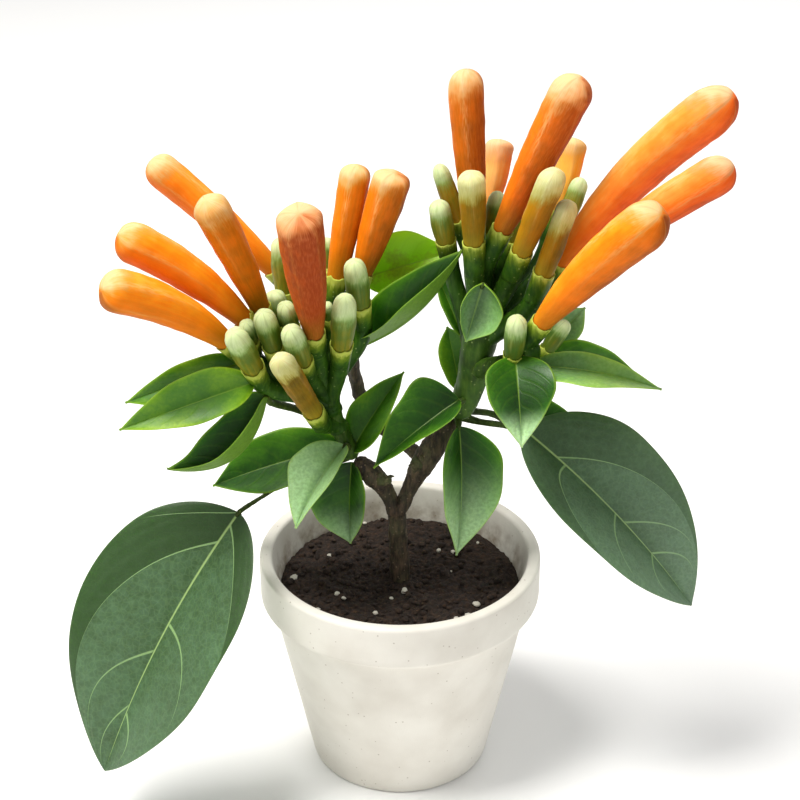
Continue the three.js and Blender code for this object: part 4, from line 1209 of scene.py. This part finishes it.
def add_crumb(surface, centre, size, flat, kind):
    """A crumb of potting mix, a longer flake of bark or a pale grain, by its kind from 0 to 1."""
    polar = math.pi * np.linspace(0.06, 0.94, 7)
    ball = lathe(np.stack([np.sin(polar), np.cos(polar)], axis=-1), 9)
    is_flake = SOIL.flakes[0] < kind < SOIL.flakes[1]
    ball = ball * (SOIL.flake_shape if is_flake else (1, 1, 1)) * (size, size, size * flat)
    ball = ball * (1 + 0.22 * ripple(ball + centre, size * 1.8, seed=9))[..., None]
    yaw, pitch = random.uniform(0, TURN), random.uniform(-SOIL.tilt, SOIL.tilt)
    c, s = math.cos(yaw), math.sin(yaw)
    spin = np.array(((c, -s, 0), (s, c, 0), (0, 0, 1)))
    c, s = math.cos(pitch), math.sin(pitch)
    tip = np.array(((c, 0, s), (0, 1, 0), (-s, 0, c)))
    surface.shell(centre + ball @ (spin @ tip).T, pale=float(kind > SOIL.pale_from))


# Stage, light and camera, in metres
CAMERA = Sizes(place=(0, -0.49445, 0.3839), target=(0, 0, 0.121), lens=87.75, sensor=36)
# Lights: place, size, power and tint; where they point; and the strength of the sky's even light
LIGHTS = {
    "key": ((-0.35, -0.12, 1.05), 0.45, 15, (1, 0.98, 0.95)),
    "fill": ((0.7, -0.9, 0.5), 0.8, 1.5, (0.95, 0.98, 1)),
    "back": ((0.4, 0.8, 0.7), 0.6, 2, (1, 1, 1)),
}
LIT_POINT = (0, 0, 0.12)
SKY_LIGHT = 0.44
FLOOR_HALF = 6


def aim(thing, target):
    """Turns a camera or light to look at a point."""
    thing.rotation_mode = "QUATERNION"
    thing.rotation_quaternion = (Vector(target) - thing.location).to_track_quat("-Z", "Y")


def make_camera():
    """The camera of the photo's view."""
    data = bpy.data.cameras.new("camera")
    data.lens = CAMERA.lens
    data.sensor_width = CAMERA.sensor
    camera = into_scene("camera", data, CAMERA.place)
    aim(camera, CAMERA.target)
    bpy.context.scene.camera = camera


def make_light(name, place, size, power, tint):
    """A soft square light aimed at the plant."""
    data = bpy.data.lights.new(name, "AREA")
    data.size = size
    data.energy = power
    data.color = tint
    aim(into_scene(name, data, place), LIT_POINT)


def make_stage():
    """A plain pale floor, and a pale sky that lights it evenly."""
    mesh = bpy.data.meshes.new("floor")
    corners = [(x * FLOOR_HALF, y * FLOOR_HALF, 0) for x, y in ((-1, -1), (1, -1), (1, 1), (-1, 1))]
    mesh.from_pydata(corners, [], [(0, 1, 2, 3)])
    f = Finish("floor", Specular_IOR_Level=0.2, Roughness=0.8)
    f.base = f.mix(f.noise(400), colour("f9f9f8"), colour("fcfcfb"))
    mesh.materials.append(f.done())
    floor = into_scene("floor", mesh)
    world = bpy.data.worlds.new("sky")
    world.use_nodes = True
    sky = world.node_tree.nodes["Background"].inputs
    sky["Color"].default_value = (1, 1, 1, 1)
    sky["Strength"].default_value = SKY_LIGHT
    bpy.context.scene.world = world
    bpy.context.scene.view_settings.view_transform = "Standard"


make_camera()
make_stage()
for name, light in LIGHTS.items():
    make_light(name, *light)

bloom_look = petal_finish(
    "bloom",
    "7e4803 ae6603 d87403 f07e04 f69614 f4b248", "903404 ba4406 ea5c0c f8761e fa9340 f9b468",
    (0, 0.3, 0.65, 1), "d98a1e d69438 d8a862 dfc18a", "e6763a dc8650 dc9e6e e1b78a",
)
young_look = petal_finish(
    "young_bloom",
    "544a0a 745e08 9c7008 b67c08 be8e1a c8a030", "7c4a0c 96520c b8600e c87212 d0882a d6a040",
    (0, 0.35, 0.7, 1), "84801e a3a048 c0c07a d4d69e", "a87e28 b89850 c8b87c d8d09e",
)
green_look = green_finish()
bud_look = bud_finish()
sides = (("left", LEFT_BLOOMS, LEFT_YOUNG, 199), ("right", RIGHT_BLOOMS, RIGHT_YOUNG, 239))
for side, blooms, young, seed in sides:
    for number, bloom in enumerate(blooms, 1):
        petals = Surface()
        add_corolla(petals, bloom, number in young, seed + number)
        look, slot = (young_look, "young_bloom") if number in young else (bloom_look, "bloom")
        petals.build(f"{side}_corolla_{number}", look, slot, f"{side}_bloom_{number}")

build_head(
    "left", [LEFT_SHOOT], LEFT_STALKS,
    [(LEFT_SHOOT, bloom) for bloom in LEFT_BLOOMS],
    [(LEFT_SHOOT, bud) for bud in LEFT_BUDS],
    green_look, bud_look,
)
build_head(
    "right", [RIGHT_SHOOT, SIDE_SHOOT], RIGHT_STALKS,
    [
        (SIDE_SHOOT if number == SIDE_BLOOM else RIGHT_SHOOT, bloom)
        for number, bloom in enumerate(RIGHT_BLOOMS, 1)
    ],
    [(RIGHT_SHOOT, bud) for bud in RIGHT_BUDS] + [(SIDE_SHOOT, bud) for bud in SIDE_BUDS],
    green_look, bud_look,
)
build_wood(bark_finish())

leaf_look = young_leaf_finish()
for index, (name, row) in enumerate(LEAVES.items()):
    if name in LARGE_VEINS:
        build_leaf(name, row, large_leaf_finish(name), "large_leaf", LARGE_BLADE, index)
    else:
        build_leaf(name, row, leaf_look, "leaf", SMALL_BLADE, index)

build_pot(pot_finish())
build_soil(soil_finish())
